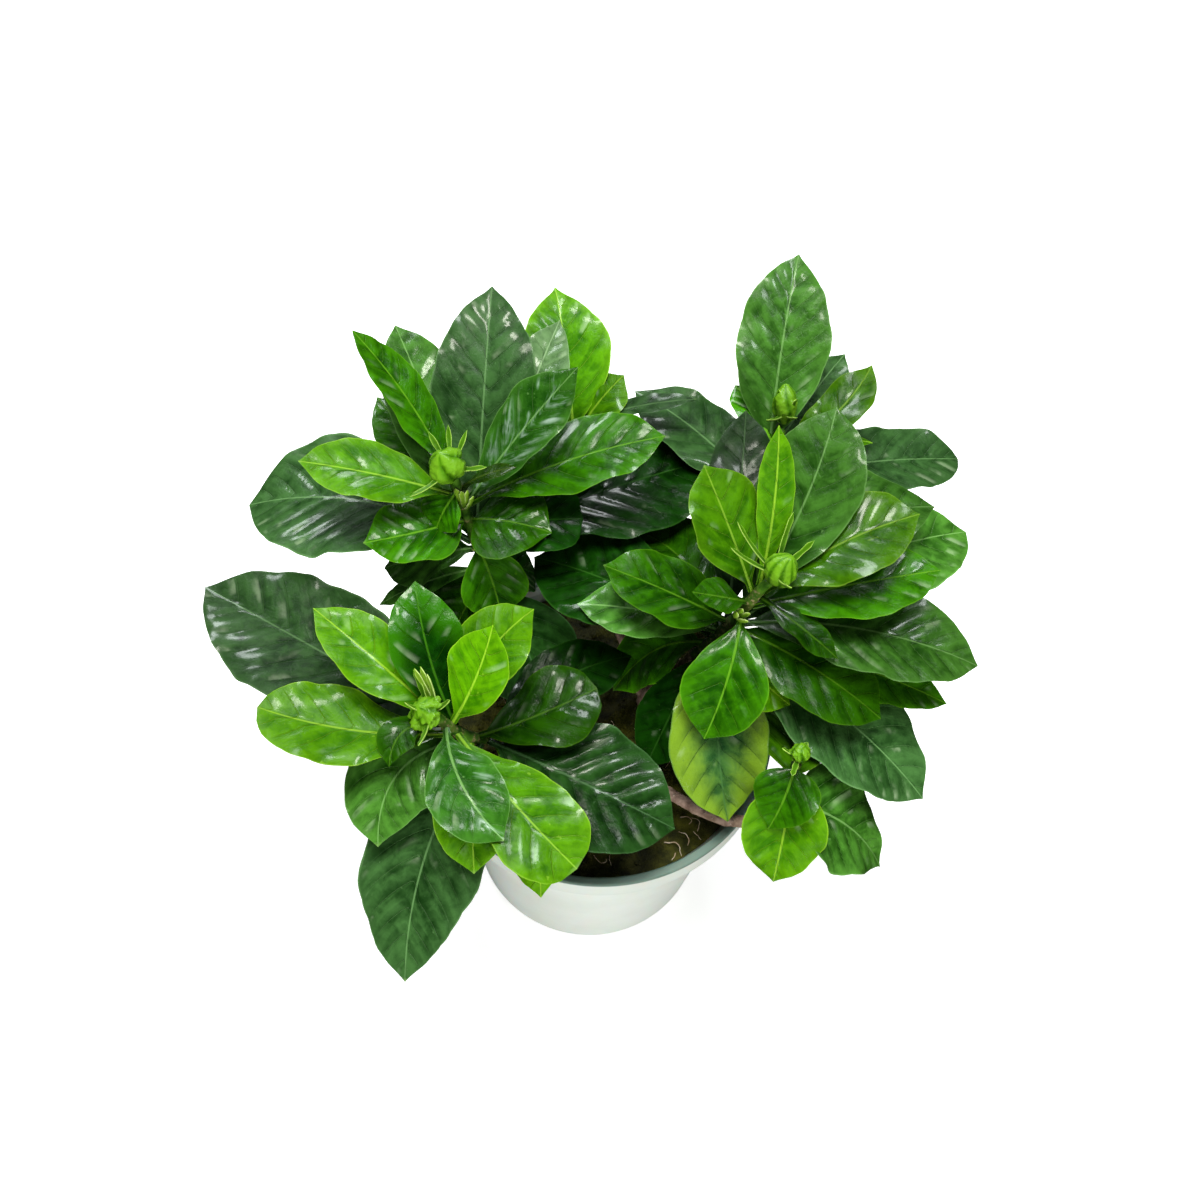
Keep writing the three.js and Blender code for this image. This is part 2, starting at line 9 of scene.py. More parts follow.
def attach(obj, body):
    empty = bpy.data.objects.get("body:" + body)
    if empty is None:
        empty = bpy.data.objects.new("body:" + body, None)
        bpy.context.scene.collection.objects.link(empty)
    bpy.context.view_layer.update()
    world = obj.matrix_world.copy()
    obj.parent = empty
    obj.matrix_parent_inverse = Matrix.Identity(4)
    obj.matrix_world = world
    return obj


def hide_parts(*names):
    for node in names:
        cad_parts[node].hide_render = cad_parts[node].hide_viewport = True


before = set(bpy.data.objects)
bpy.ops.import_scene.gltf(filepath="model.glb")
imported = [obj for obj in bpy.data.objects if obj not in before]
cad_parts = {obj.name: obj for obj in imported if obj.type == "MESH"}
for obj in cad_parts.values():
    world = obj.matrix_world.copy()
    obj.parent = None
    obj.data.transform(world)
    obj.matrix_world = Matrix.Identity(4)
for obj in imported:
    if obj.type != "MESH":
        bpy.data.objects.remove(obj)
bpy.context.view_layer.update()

MM = 0.001
TOUCHING = 0.004 * MM
PLANT_MIDDLE = (0, 0, 0.13)
UP = np.array([0.0, 0.0, 1.0])

# The pot
RIM_RADIUS = 62
POT_HEIGHT = 110
BASE_RADIUS = 47.5
NECK_RADIUS = 55.5
LIP_BOTTOM = 99
MOUTH_RADIUS = 59
LEDGE_RADIUS = 53.8
LEDGE_TOP = 103
LEDGE_BOTTOM = 97
WALL = 1.7
FLOOR = 2.6
DRAIN_COUNT = 8
DRAIN_RADIUS = 3.6
DRAIN_CIRCLE = 33
POT_SIDES = 160
CORNER_STEPS = 6

# The soil
SOIL_TOP = 101
SOIL_RELIEF = 1.6
SOIL_EDGE = 56.6
CLOD_PITCH = 0.16
CLOD_RISE = 0.8
ROOT_DEPTH = 34
CLEAR_OF_SOIL = 4
CRUMBS = 620
CRUMB_LIMIT = 56
ROOTLETS = 46
ROOTLET_LIMIT = 54
ROOTLET_STEPS = 14

# The stems, with the rings that dropped leaves leave on them
WOOD_RADIUS = 2.4
GREEN_RADIUS = 1.9
TIP_RADIUS = 1.5
GAP = 0.3
SET_IN_WOOD = 0.8
SCAR_RISE = 0.22
SCAR_LENGTH = 0.9
RING_SPACING = 11.5
RING_RISE = 0.3
BARK_GRAIN = 0.5
BARK_RELIEF = 0.16

# The blades: their stalks, outline and thickness
BLADE = 0.55
STALK_HALF = 1.2
STALK_THICK = 1.7
STALK_SHARE = 0.06
STALK_START = 0.8
TIP_HALF = 0.4
RISE = {"old": 1.05, "young": 1.2}
USUAL_FALL = 0.86
DRIP = 0.4
DRIP_LENGTH = 3.2
BLUNT = 0.65

# The blades' surface: a fold along the midrib, long waves, and finer ones that die out at both ends. Of a
# pair, the first number says how far it goes and the second how fast, in radians to each RHYTHM of length.
FOLD = {"old": 0.2, "young": 0.28}
CURL = 0.45
CREASE = 1.0
WAVE = 0.9
WAVES = 2
WAVE_SHIFT = 1.3
WAVE_HALF = 8
END_SHARE = 0.12
RHYTHM = 17
WAVER, WAVER_TURNS = 0.018, 2.6
NICK, NICK_TURNS = 0.016, 6.1
FLUTTER, FLUTTER_TURNS = 0.8, 4.7
FRILL, FRILL_TURNS = 0.3, 11

# The blades' veins, and the quilting that swells between them
VEIN_SPACING = 8.5
FEWEST_VEINS = 5
MOST_VEINS = 10
VEIN_SLANT = 0.75
VEIN_CURVE = 0.3
VEIN_DRIFT = 0.16
VEIN_STAGGER = 0.35
VEIN_START = 40
QUILT_FORM = 0.6
QUILT_WIDTH = 34
QUILT_MOST = 1.15
QUILT_CLEAR = 1.4
SCALLOP = 0.3
RIB_HEIGHT, RIB_WIDTH = 0.25, 0.45
KEEL_HEIGHT, KEEL_WIDTH = 0.75, 0.9

# How finely a blade is drawn, and how far apart two blades lie in their patterns
STATION = 1.35
FEWEST_ROWS = 20
COLUMN = 1.25
COLUMN_EASE = 1.3
ARC_STEPS = 60
PATTERN_STEP = 0.31

# The buds
LUMP_PITCH = 0.5
SEPAL_ROOT = 0.25
SEPAL_BEND = 0.12
BUD_FOOT = 2
BUD_TWIST = 0.9

# Where the photograph was taken from: pixels of a 1200 x 1200 frame, in line with its middle
PHOTO_MIDDLE = 600
PHOTO_FOCAL = 1150
PHOTO_SIZE = 1200
EYE_DISTANCE = 565
AIM = np.array([-3.0, 117.0, 0.0])
ELEVATION = math.radians(58)
ROLL = math.radians(-4.7)
SENSOR = 36
NEAREST = 0.01

BACK = np.array([0.0, -math.cos(ELEVATION), math.sin(ELEVATION)])
RIGHT = np.array([1.0, 0.0, 0.0])
ABOVE = np.cross(BACK, RIGHT)
EYE = AIM + BACK * EYE_DISTANCE

# Shoots: the pixel and height of the tip, the stem's bends down to the soil, the foot that it grows from,
# and how far below the tip the woody stem ends
SHOOTS = {
    "a": ((454, 476), 182, [(-45, 37, 152), (-29, 20, 124)], "left", 50),
    "b": ((770, 580), 184, [(38, 11, 158), (26, 10, 130)], "right", 47),
    "c": ((783, 428), 178, [(46, 70, 154), (29, 40, 128)], "right", 34),
    "d": ((434, 716), 158, [(-40, -27, 141), (-25, -12, 121)], "left", 34),
    "e": ((797, 762), 151, [(60, -41, 132), (45, -38, 117), (26, -28, 111)], "front", 20),
    "f": ((576, 416), 158, [(-14, 58, 142), (3, 34, 121)], "right", 24),
}
FEET = {"left": (-14, 1), "right": (16, 11), "front": (17, -20)}

# Leaves of one shoot and age. For each: the pixel and height of the tip, how far below the shoot's tip it
# grows, its width, its tone, a shade that darkens or lightens it, its bow and its sway, which lift the middle
# of the blade and move it to the right, as shares of its length. roll turns a blade about its midrib, in
# degrees. A lower rise gives it a fuller base, and a lower fall a rounder end. What a row leaves out is
# USUAL.
USUAL = (0.08, 0, {})
WHORLS = [
    ("a", "young", [
        ((352, 330), 212, 8, 18, "grass", 0.95, 0, 0.05, {"roll": 20}),
        ((298, 461), 188, 8, 24, "fresh", 1.15, 0.01, 0.02),
        ((363, 543), 169, 18, 28, "grass", 1.1, 0.02, -0.03, {"rise": 0.7}),
        ((436, 530), 166, 6, 18, "grass", 1.35, 0.1),
        ((552, 533), 170, 18, 35, "grass", 0.55, 0.08, 0, {"rise": 0.8, "fall": 1}),
        ((666, 436), 188, 12, 29.5, "grass", 0.85, 0.02, -0.035),
    ]),
    ("a", "old", [((492, 286), 202, 27, 35, "slate", 1, 0.06)]),
    ("a", "young", [((578, 367), 206, 12, 23, "streaked", 0.7, 0.03)]),
    ("a", "old", [
        ((395, 325), 188, 27, 28, "green", 1.05),
        ((377, 397), 172, 30, 24, "grass", 0.75),
        ((249, 505), 151, 28, 52, "slate", 1.25, 0.08, 0.06, {"fall": 0.7}),
        ((384, 568), 142, 30, 24, "green", 1.6, 0.04),
        ((379, 605), 130, 38, 10, "green", 1.6),
        ((502, 620), 138, 27, 23.5, "grass", 1.1, 0.08, -0.02),
        ((560, 320), 190, 31, 26, "pale_sheen", 1),
        ((722, 457), 156, 26, 47, "dark", 0.65, 0.03, 0, {"fall": 0.7}),
        ((583, 519), 167, 23, 29, "dark", 0.9, 0.05, 0, {"fall": 0.5}),
        ((537, 575), 136, 36, 23, "dark", 1.6, 0.08, 0.02),
        ((548, 704), 112, 44, 36, "deep", 0.85),
        ((452, 640), 120, 41, 40, "grass", 0.55),
    ]),
    ("b", "young", [
        ((704, 465), 206, 9, 26, "fresh", 0.85, 0.02),
        ((779, 425), 214, 6, 11.5, "lime", 0.95, 0, 0.03),
        ((837, 407), 208, 13, 32, "green", 0.75, 0.04, 0.05),
        ((920, 514), 194, 10, 30, "fresh", 0.65, 0.06, -0.03),
        ((941, 570), 180, 14, 28, "grass", 1, 0.02),
        ((838, 659), 168, 8, 11, "grass", 0.4, 0.04),
        ((692, 592), 184, 12, 12.5, "grass", 0.55, 0.04, -0.03),
        ((704, 739), 148, 17, 27, "grass", 0.95, 0.1, -0.04),
    ]),
    ("b", "old", [
        ((603, 565), 174, 24, 29, "grass", 0.7, 0.03, 0, {"roll": 10, "rise": 0.85}),
        ((881, 719), 150, 25, 31, "grass", 0.5),
        ((978, 666), 160, 24, 34, "green", 0.75, 0.06, -0.04, {"fall": 0.75}),
        ((966, 532), 153, 29, 40, "green", 1.4, 0.08, -0.02, {"fall": 0.7}),
        ((935, 507), 172, 23, 40, "green", 0.7, 0.07, -0.12),
        ((746, 410), 188, 26, 24, "slate", 0.4),
        ((947, 704), 138, 33, 24, "grass", 1.6),
        ((923, 799), 122, 36, 41, "slate", 1.6, 0.08, -0.03),
        ((577, 604), 158, 30, 22, "green", 1.5),
        ((728, 822), 124, 31, 33, "edged", 1, 0.08, 0.05, {"fall": 0.95}),
        ((790, 705), 150, 28, 22, "lime", 1, 0.08, 0.1),
        ((613, 691), 118, 38, 27, "grass", 1.3, 0.02, 0.15),
        ((646, 766), 112, 41, 22, "dark", 0.55, 0.04),
        ((534, 557), 146, 34, 40, "dark", 0.9),
    ]),
    ("c", "young", [
        ((799, 254), 206, 10, 32, "green", 1.05, 0.06, -0.02, {"rise": 0.85}),
        ((872, 365), 190, 11, 17, "fresh", 0.6, 0.08, 0.14),
        ((735, 385), 176, 7, 15, "grass", 1.6),
        ((873, 443), 166, 7, 8, "fresh", 1.6),
    ]),
    ("c", "old", [
        ((845, 354), 176, 20, 20, "slate", 1.25),
        ((635, 391), 162, 24, 29, "slate", 1.05, 0.08, 0, {"rise": 0.75}),
        ((958, 459), 156, 22, 30, "slate", 1.05, 0.05, 0, {"fall": 0.62}),
    ]),
    ("d", "young", [
        ((313, 608), 174, 8, 21, "lime", 1, 0.03),
        ((415, 581), 176, 12, 23, "tipped", 1, 0.08, -0.05),
        ((534, 609), 172, 9, 24, "lime", 0.85, 0.04, -0.08),
        ((493, 625), 182, 8, 21, "lime", 1.25, 0.02, 0.05),
        ((577, 869), 142, 11, 29, "fresh", 1.1, 0.08, 0.04, {"fall": 0.5}),
        ((504, 841), 152, 6, 24, "streaked", 1.05, 0.08, 0.1),
        ((389, 767), 153, 4, 12, "grass", 0.45, 0.08, 0.25),
        ((257, 707), 160, 13, 27, "lime", 0.85, -0.02, -0.05, {"fall": 0.6}),
    ]),
    ("d", "old", [
        ((541, 898), 112, 31, 22, "lime", 1.6, 0.08, -0.06),
        ((597, 688), 150, 21, 28, "grass", 0.35, 0.01, 0.03, {"fall": 0.5}),
        ((205, 587), 146, 21, 46, "slate", 0.75, 0.03, -0.01, {"fall": 0.82}),
        ((675, 829), 129, 26, 42, "deep", 0.55, 0.08, 0.02),
        ((474, 874), 132, 19, 24, "fresh", 1.55),
        ((405, 982), 104, 26, 39, "slate", 1.15, 0.05, 0.07, {"rise": 0.75}),
        ((378, 847), 132, 19, 31, "green", 1.15, 0.08, 0.22),
        ((632, 656), 132, 30, 24, "dark", 0.55, 0.08, -0.06),
    ]),
    ("e", "young", [
        ((768, 829), 139, 1, 21, "grass", 0.7, 0.08, -0.04, {"rise": 0.5}),
        ((773, 882), 122, 6, 27, "lime", 0.95, 0.08, 0, {"rise": 0.6}),
    ]),
    ("e", "old", [((880, 867), 105, 15.5, 37, "green", 1.3, 0.08, -0.06, {"rise": 0.5, "fall": 1.0})]),
    ("f", "young", [
        ((555, 287), 186, 10, 32, "fresh", 1.35, 0.08, 0.01, {"fall": 1.05}),
        ((624, 375), 172, 7, 20, "lime", 0.65),
        ((697, 399), 180, 3, 9, "slate", 0.7, 0.05),
    ]),
    ("b", "old", [((640, 532), 148, 32, 36, "grass", 0.5, 0.08, 0.09)]),
    ("e", "young", [((790, 708), 112, 8, 32, "fresh", 0.8, 0.08, 0, {"rise": 0.7, "fall": 0.6})]),
    ("a", "young", [((517, 467), 190, 5, 6, "fresh", 0.2)]),
]
LEAVES = [(shoot, age, *leaf, *USUAL[len(leaf) - 6:]) for shoot, age, leaves in WHORLS for leaf in leaves]

# Flower buds: length, radius, how far the sepals rise, the way that the bud points where that is not the
# stem's way, its ribs, the depth of the furrows between them and of its lumps as shares of its radius, and
# the pixels where the sepals' tips show
BUDS = {
    "a": (
        12, 6.1, 6, (-0.26, -0.1, 0.96), 4, 0.22, 0.1,
        [(428, 431), (448, 424), (467, 430), (487, 467), (409, 497)],
    ),
    "b": (12, 5.4, 11, None, 8, 0.1, 0.08, [(730, 547), (737, 521), (794, 511), (815, 540), (792, 588)]),
    "c": (14, 4.4, 8, (-0.06, 0.6, 0.8), 5, 0.1, 0.08, [(779, 389), (797, 399), (797, 418), (766, 420)]),
    "d": (8, 5.2, 9, None, 5, 0.1, 0.34, [(413, 669), (404, 702), (418, 746), (450, 700)]),
    "e": (7, 3.2, 3, None, 5, 0.12, 0.3, [(782, 748), (808, 742), (792, 776)]),
}

# Rootlets that show on the soil: the pixel where each starts and its length. The others are drawn by lot.
SEEN_ROOTLETS = [
    ((605, 856), 7), ((612, 866), 6), ((662, 842), 9), ((676, 850), 8), ((688, 846), 7), ((697, 832), 7),
]

# Small scale leaves in a claw on a stem: the shoot, how far below its tip they grow, the height and half
# the width of their tips and the pixels where these show
CLAWS = [
    ("a", 14, 180, 1.2, [(455, 488), (461, 491), (467, 490), (473, 496)]),
    ("a", 30, 161, 1.3, [(468, 531), (476, 531), (481, 539), (474, 550)]),
    ("b", 21, 174, 1.3, [(737, 612), (743, 609), (750, 613), (748, 621)]),
    ("d", 1, 171, 1.2, [(414, 668), (420, 666), (427, 674)]),
]

# Leaf tones: the deep and the light green between the veins, the veins, the edge, how matt the wax is and how
# high the quilting swells
TONES = {
    "lime": ((34, 90, 1), (82, 141, 2), (139, 183, 43), (92, 147, 7), 0.28, 0.5),
    "fresh": ((26, 75, 1), (72, 129, 4), (127, 169, 47), (87, 137, 10), 0.28, 0.7),
    "grass": ((11, 55, 1), (52, 116, 1), (95, 151, 27), (61, 124, 4), 0.26, 0.9),
    "green": ((17, 55, 4), (66, 117, 37), (104, 147, 78), (70, 118, 41), 0.26, 0.9),
    "deep": ((6, 38, 4), (49, 97, 35), (83, 128, 73), (51, 97, 40), 0.24, 1.0),
    # The next tone is for leaves deep among the others: its near-black green is partly their own tone and
    # partly painted shade.
    "dark": ((2, 22, 1), (21, 70, 6), (46, 94, 26), (18, 63, 6), 0.24, 0.9),
    "slate": ((13, 41, 9), (53, 90, 42), (87, 124, 73), (51, 85, 41), 0.34, 0.6),
    # The next tone is a paler grey-green, partly the leaf's own tone and partly a painted sheen.
    "pale_sheen": ((36, 69, 27), (88, 123, 72), (131, 161, 114), (94, 125, 79), 0.34, 0.8),
    "edged": ((18, 57, 25), (60, 103, 46), (58, 98, 48), (104, 138, 32), 0.22, 0.9),
    "tipped": ((2, 26, 1), (13, 62, 1), (56, 113, 9), (39, 99, 1), 0.22, 1.0),
    "streaked": ((14, 59, 4), (52, 108, 25), (110, 157, 81), (65, 117, 34), 0.22, 1.0),
}


# Finishes
def hue(red, green, blue):
    """A colour for a shader, from its screen values of 0 to 255."""
    shares = [value / 255 for value in (red, green, blue)]
    return (*[s / 12.92 if s <= 0.04045 else ((s + 0.055) / 1.055) ** 2.4 for s in shares], 1.0)


class Wire:
    """A shader socket on which sums are written as plain arithmetic."""

    def __init__(self, finish, socket):
        self.finish = finish
        self.socket = socket

    def sum(self, operation, *values):
        return self.finish.node("ShaderNodeMath", {"operation": operation}, dict(enumerate(values)))

    def __add__(self, other):
        return self.sum("ADD", self, other)

    __radd__ = __add__

    def __sub__(self, other):
        return self.sum("SUBTRACT", self, other)

    def __rsub__(self, other):
        return self.sum("SUBTRACT", other, self)

    def __mul__(self, other):
        return self.sum("MULTIPLY", self, other)

    __rmul__ = __mul__

    def __truediv__(self, other):
        return self.sum("DIVIDE", self, other)

    def __pow__(self, other):
        return self.sum("POWER", self, other)

    def size(self):
        return self.sum("ABSOLUTE", self)

    def fraction(self):
        return self.sum("FRACT", self)

    def between(self, low, high):
        """0 below low and 1 above high, with a soft step from one to the other."""
        settings = {"interpolation_type": "SMOOTHSTEP"}
        sockets = {"Value": self, "From Min": low, "From Max": high}
        return self.finish.node("ShaderNodeMapRange", settings, sockets)


class Finish:
    """One material: its nodes, and the shader that they feed."""

    def __init__(self, name):
        self.material = bpy.data.materials.new(name)
        self.material.use_nodes = True
        self.tree = self.material.node_tree
        self.shader = self.tree.nodes["Principled BSDF"]

    def plug(self, socket, value):
        if isinstance(value, Wire):
            self.tree.links.new(value.socket, socket)
        else:
            socket.default_value = value

    def node(self, kind, settings, sockets, out=0):
        made = self.tree.nodes.new(kind)
        for name, value in settings.items():
            setattr(made, name, value)
        for name, value in sockets.items():
            self.plug(made.inputs[name], value)
        return Wire(self, made.outputs[out])

    def mix(self, share, first, second, blend="MIX"):
        """Two colours, the second one laid over the first by a share."""
        settings = {"data_type": "RGBA", "blend_type": blend}
        return self.node("ShaderNodeMix", settings, {0: share, 6: first, 7: second}, out=2)

    def lay(self, colour, *layers):
        """A colour with others laid over it in turn, each by its share."""
        for share, other in layers:
            colour = self.mix(share, colour, other)
        return colour

    def speckle(self, place, scale, detail, rough=0.55, warp=0.0):
        sockets = {"Vector": place, "Scale": scale, "Detail": detail, "Roughness": rough, "Distortion": warp}
        return self.node("ShaderNodeTexNoise", {}, sockets)

    def attribute(self, name, out=1):
        """The three numbers that a piece keeps at each of its points, or with out=2 the single number."""
        return self.node("ShaderNodeAttribute", {"attribute_name": name}, {}, out=out)

    def parts(self, vector):
        split = self.node("ShaderNodeSeparateXYZ", {}, {"Vector": vector})
        return [Wire(self, out) for out in split.socket.node.outputs]

    def here(self):
        return self.node("ShaderNodeTexCoord", {}, {}, out=3)

    def relief(self, height, distance):
        return self.node("ShaderNodeBump", {}, {"Height": height, "Distance": distance})

    def surface(self, **sockets):
        for name, value in sockets.items():
            self.plug(self.shader.inputs[name.replace("_", " ")], value)
        return self.material


def pot_plastic():
    """Off-white moulded plastic: cloudy and matte, with painted shade in a dull grey-green band along the
    rim's top, on the lip and on the inner wall above the soil.
    """
    finish = Finish("pot_plastic")
    here = finish.here()
    x, y, z = finish.parts(here)
    cloud = finish.speckle(here, 22, 4)
    grain = finish.speckle(here, 900, 3)
    # The lip is painted a little darker: painted shade.
    lip_shade = z.between(0.0985, 0.1005) * (1 - z.between(0.1075, 0.1095))
    # A grey-green band of painted shade runs along the rim's top.
    top = z.between(0.1082, 0.1094) * (0.75 + 0.5 * finish.speckle(here, 160, 4)).between(0.2, 1.0)
    reach = (x * x + y * y) ** 0.5
    # The inner wall above the soil is darkened with painted shade.
    inside = (1 - reach.between(0.0588, 0.0594)) * z.between(0.097, 0.101)
    colour = finish.lay(
        hue(222, 229, 217),
        (cloud.between(0.3, 0.7), hue(234, 240, 231)),
        (lip_shade * 0.5, hue(208, 216, 206)),
        (top, hue(96, 118, 106)),
        (inside * 0.8, hue(88, 100, 86)),
    )
    return finish.surface(
        Base_Color=colour,
        Roughness=0.38 + 0.16 * grain,
        Normal=finish.relief(grain, 0.00008),
        Subsurface_Weight=0.15,
        Subsurface_Scale=0.004,
    )


def soil_mix():
    """Dark moist crumbs with a few paler fibres."""
    finish = Finish("soil_mix")
    here = finish.here()
    clods = finish.speckle(here, 160, 6, 0.65)
    fibres = finish.speckle(here, 700, 5, 0.7)
    colour = finish.lay(
        hue(34, 37, 10),
        (clods.between(0.35, 0.7), hue(82, 82, 26)),
        (fibres.between(0.62, 0.75) * 0.5, hue(138, 124, 74)),
    )
    return finish.surface(
        Base_Color=colour,
        Roughness=0.72 + 0.25 * fibres,
        Normal=finish.relief(fibres + clods, 0.0008),
    )


def root_skin():
    """Pale thin roots, browner in patches."""
    finish = Finish("root_skin")
    here = finish.here()
    patches = finish.speckle(here, 240, 4)
    colour = finish.mix(patches.between(0.3, 0.7), hue(170, 142, 112), hue(232, 216, 194))
    return finish.surface(Base_Color=colour, Roughness=0.6 + 0.3 * patches)


def bark():
    """Pinkish grey-brown bark, with pale pores and darker leaf scars."""
    finish = Finish("bark")
    here = finish.here()
    streaks = finish.speckle(here, 300, 5, 0.65)
    patches = finish.speckle(here, 60, 3)
    pores = finish.speckle(here, 900, 2).between(0.63, 0.72)
    scar = finish.attribute("scar", out=2)
    colour = finish.lay(
        hue(104, 82, 70),
        (streaks.between(0.3, 0.7), hue(166, 142, 126)),
        (patches.between(0.45, 0.75) * 0.5, hue(112, 106, 74)),
        (pores * 0.5, hue(200, 184, 166)),
        (scar * 0.8, hue(70, 50, 40)),
    )
    return finish.surface(
        Base_Color=colour,
        Roughness=0.68 + 0.25 * streaks,
        Normal=finish.relief(streaks + pores, 0.0003),
    )


def green_stem():
    """The soft green of a new stem, browning in rings where old leaves have dropped."""
    finish = Finish("green_stem")
    here = finish.here()
    streaks = finish.speckle(here, 260, 4)
    scar = finish.attribute("scar", out=2)
    flakes = scar * finish.speckle(here, 900, 3).between(0.52, 0.66)
    colour = finish.lay(
        hue(26, 60, 8),
        (streaks.between(0.3, 0.7), hue(78, 124, 28)),
        (scar * streaks.between(0.35, 0.65) * 0.8, hue(62, 56, 26)),
        (flakes * 0.6, hue(170, 146, 112)),
    )
    return finish.surface(
        Base_Color=colour,
        Roughness=0.42 + 0.3 * streaks,
        Normal=finish.relief(streaks, 0.0002),
    )


def bud_skin(name, tip, foot, ridge, pale=0.6):
    """Satin green, paler along its ribs and towards the tip, and darkened in its furrows by painted shade."""
    finish = Finish(name)
    here = finish.here()
    share = finish.attribute("share", out=2)
    cloud = finish.speckle(here, 300, 4)
    ribs = finish.attribute("rib", out=2)
    colour = finish.lay(
        foot,
        ((share + 0.8 * cloud - 0.4).between(0.0, 0.8), tip),
        (ribs.between(0.35, 0.9) * pale, ridge),
        # Painted shade darkens the furrows between the ribs.
        ((1 - ribs.between(0.0, 0.4)) * 0.5, foot),
    )
    return finish.surface(
        Base_Color=colour,
        Roughness=0.24 + 0.2 * cloud,
        Normal=finish.relief(cloud, 0.0005),
    )


def leaf_skin(tone, deep, light, vein, edge, gloss):
    """A waxy blade: mottled, with a pale midrib, sunken side veins and a matte underside."""
    finish = Finish(f"leaf_{tone}")
    share, side, upper = finish.parts(finish.attribute("place"))
    flat = finish.attribute("flat")
    _, across, number = finish.parts(flat)
    reach, outer = across.size(), side.size()
    faded = 1 - outer.between(0.55, 0.95)

    # Soft clouds, finer mottling, the wax's cells, patches and streaks that follow the side veins
    cloud = finish.speckle(flat, 45, 4)
    mottle = finish.speckle(flat, 210, 4, 0.6, 0.4)
    cells = finish.speckle(flat, 1300, 2, 0.5)
    patch = finish.speckle(flat, 75, 3, 0.5, 0.6)
    specks = finish.speckle(flat, 520, 1, 0.4).between(0.76, 0.8)
    phase = finish.attribute("vein", out=2)
    strand = finish.node("ShaderNodeCombineXYZ", {}, {"X": phase * 2.2, "Y": reach * 120, "Z": number * 9})
    streak = finish.speckle(strand, 1.0, 3, 0.55, 0.6)

    # A side vein is a pale thread in a trench darkened by painted shade, between two swollen panels
    panel = phase.fraction()
    groove = (panel - 0.5).size() * 2
    swollen = 1 - groove.between(0.2, 0.95)
    trench_shade = groove.between(0.8, 1.0) * faded
    thread = groove.between(0.93, 1.0) * faded
    rib = 1 - (reach / (0.00016 + 0.00026 * (1 - share))).between(0.6, 1.6)

    # Each panel has painted shade on its far side and a pale painted highlight on the near one
    off_rib = reach.between(0.0008, 0.0025) * (1 - outer.between(0.82, 0.97))
    panel_shade = panel.between(0.5, 0.9) * (1 - patch.between(0.42, 0.6)) * off_rib
    lit = panel.between(0.05, 0.14) * (1 - panel.between(0.18, 0.5))
    panel_highlight = lit * patch.between(0.55, 0.68) * off_rib

    blotch = (0.3 * cloud + 0.4 * mottle + 0.3 * streak).between(0.38, 0.62)
    # Towards the tip the blade pales, partly its own tone and partly a painted highlight.
    young = (0.75 * share + 0.5 * mottle).between(0.7, 1.1)
    # Painted shade darkens the blade towards its base.
    base_shade = 1 - (share + 0.2 * cloud).between(0.05, 0.45)
    # The swollen panels are painted lighter: a painted highlight.
    colour = finish.lay(deep, (0.84 * blotch + 0.16 * swollen, light), (young * 0.45, edge))
    colour = finish.mix(base_shade * 0.7, colour, deep, "MULTIPLY")
    layers = [(outer.between(0.6, 1.0) * 0.35, edge)]
    if tone == "edged":
        rim = 0.9 * outer + 0.4 * share + 0.45 * cloud + 0.5 * mottle - 0.44
        layers.append((rim.between(0.42, 1.0), edge))
    if tone == "tipped":
        rim = 1.1 * share + 0.5 * outer + 0.4 * cloud - 0.2
        layers.append((rim.between(0.75, 1.25), edge))
    layers += [
        (trench_shade * 0.12, deep),
        (panel_shade * 0.32, deep),
        (panel_highlight * 0.2, hue(188, 208, 168)),
        (thread * 0.25, vein),
        (rib * 0.7, vein),
        (outer.between(0.955, 1.0) * 0.6, vein),
        (specks * 0.35, vein),
    ]
    if tone == "streaked":
        # Streaked leaves get pale streaks on their swollen panels: a painted sheen.
        sheen_streaks = (0.6 * streak + 0.6 * cloud).between(0.6, 0.75) * swollen * faded
        layers.append((sheen_streaks * 0.6, hue(188, 210, 196)))
    colour = finish.lay(colour, *layers)
    under = finish.mix(0.55, colour, hue(112, 142, 74))
    colour = finish.mix(upper, under, colour)
    shade = finish.attribute("shade", out=2)
    grey = finish.node("ShaderNodeCombineColor", {}, {channel: shade for channel in range(3)})
    colour = finish.mix(1.0, colour, grey, "MULTIPLY")
    wax = (0.6 * cloud + 0.4 * mottle).between(0.35, 0.62)
    height = 0.2 * cells + 1.0 * mottle + 0.7 * streak - 0.5 * thread
    return finish.surface(
        Base_Color=colour,
        Roughness=gloss + 0.12 * mottle + 0.3 * (1 - upper) + 0.1 * rib,
        Normal=finish.relief(height, 0.0004),
        Specular_IOR_Level=0.22,
        Coat_Weight=upper * (0.1 + 0.5 * wax),
        Coat_Roughness=0.14,
    )


FINISHES = {
    "pot": pot_plastic(),
    "soil": soil_mix(),
    "root": root_skin(),
    "bark": bark(),
    "green_stem": green_stem(),
    "bud": bud_skin("bud_skin", hue(70, 122, 6), hue(18, 52, 3), hue(112, 162, 32)),
    "sepal": bud_skin("sepal_skin", hue(84, 134, 12), hue(30, 70, 5), hue(170, 202, 96), 0.85),
    "scales": bud_skin("scales_skin", hue(138, 176, 50), hue(84, 124, 24), hue(204, 222, 146), 0.7),
}
for tone, (*hues, gloss, _) in TONES.items():
    FINISHES[tone] = leaf_skin(tone, *[hue(*shades) for shades in hues], gloss)


# Working on pieces
def clear_choice():
    """Nothing stays selected, so that an operator acts on the new piece alone."""
    bpy.ops.object.select_all(action="DESELECT")


def added(name, data):
    """A new object in the scene that holds a mesh, a lamp or a camera."""
    made = bpy.data.objects.new(name, data)
    bpy.context.scene.collection.objects.link(made)
    return made


def fresh(name):
    """The piece that was just added or joined, under its name."""
    made = bpy.context.object
    made.name = made.data.name = name
    return made


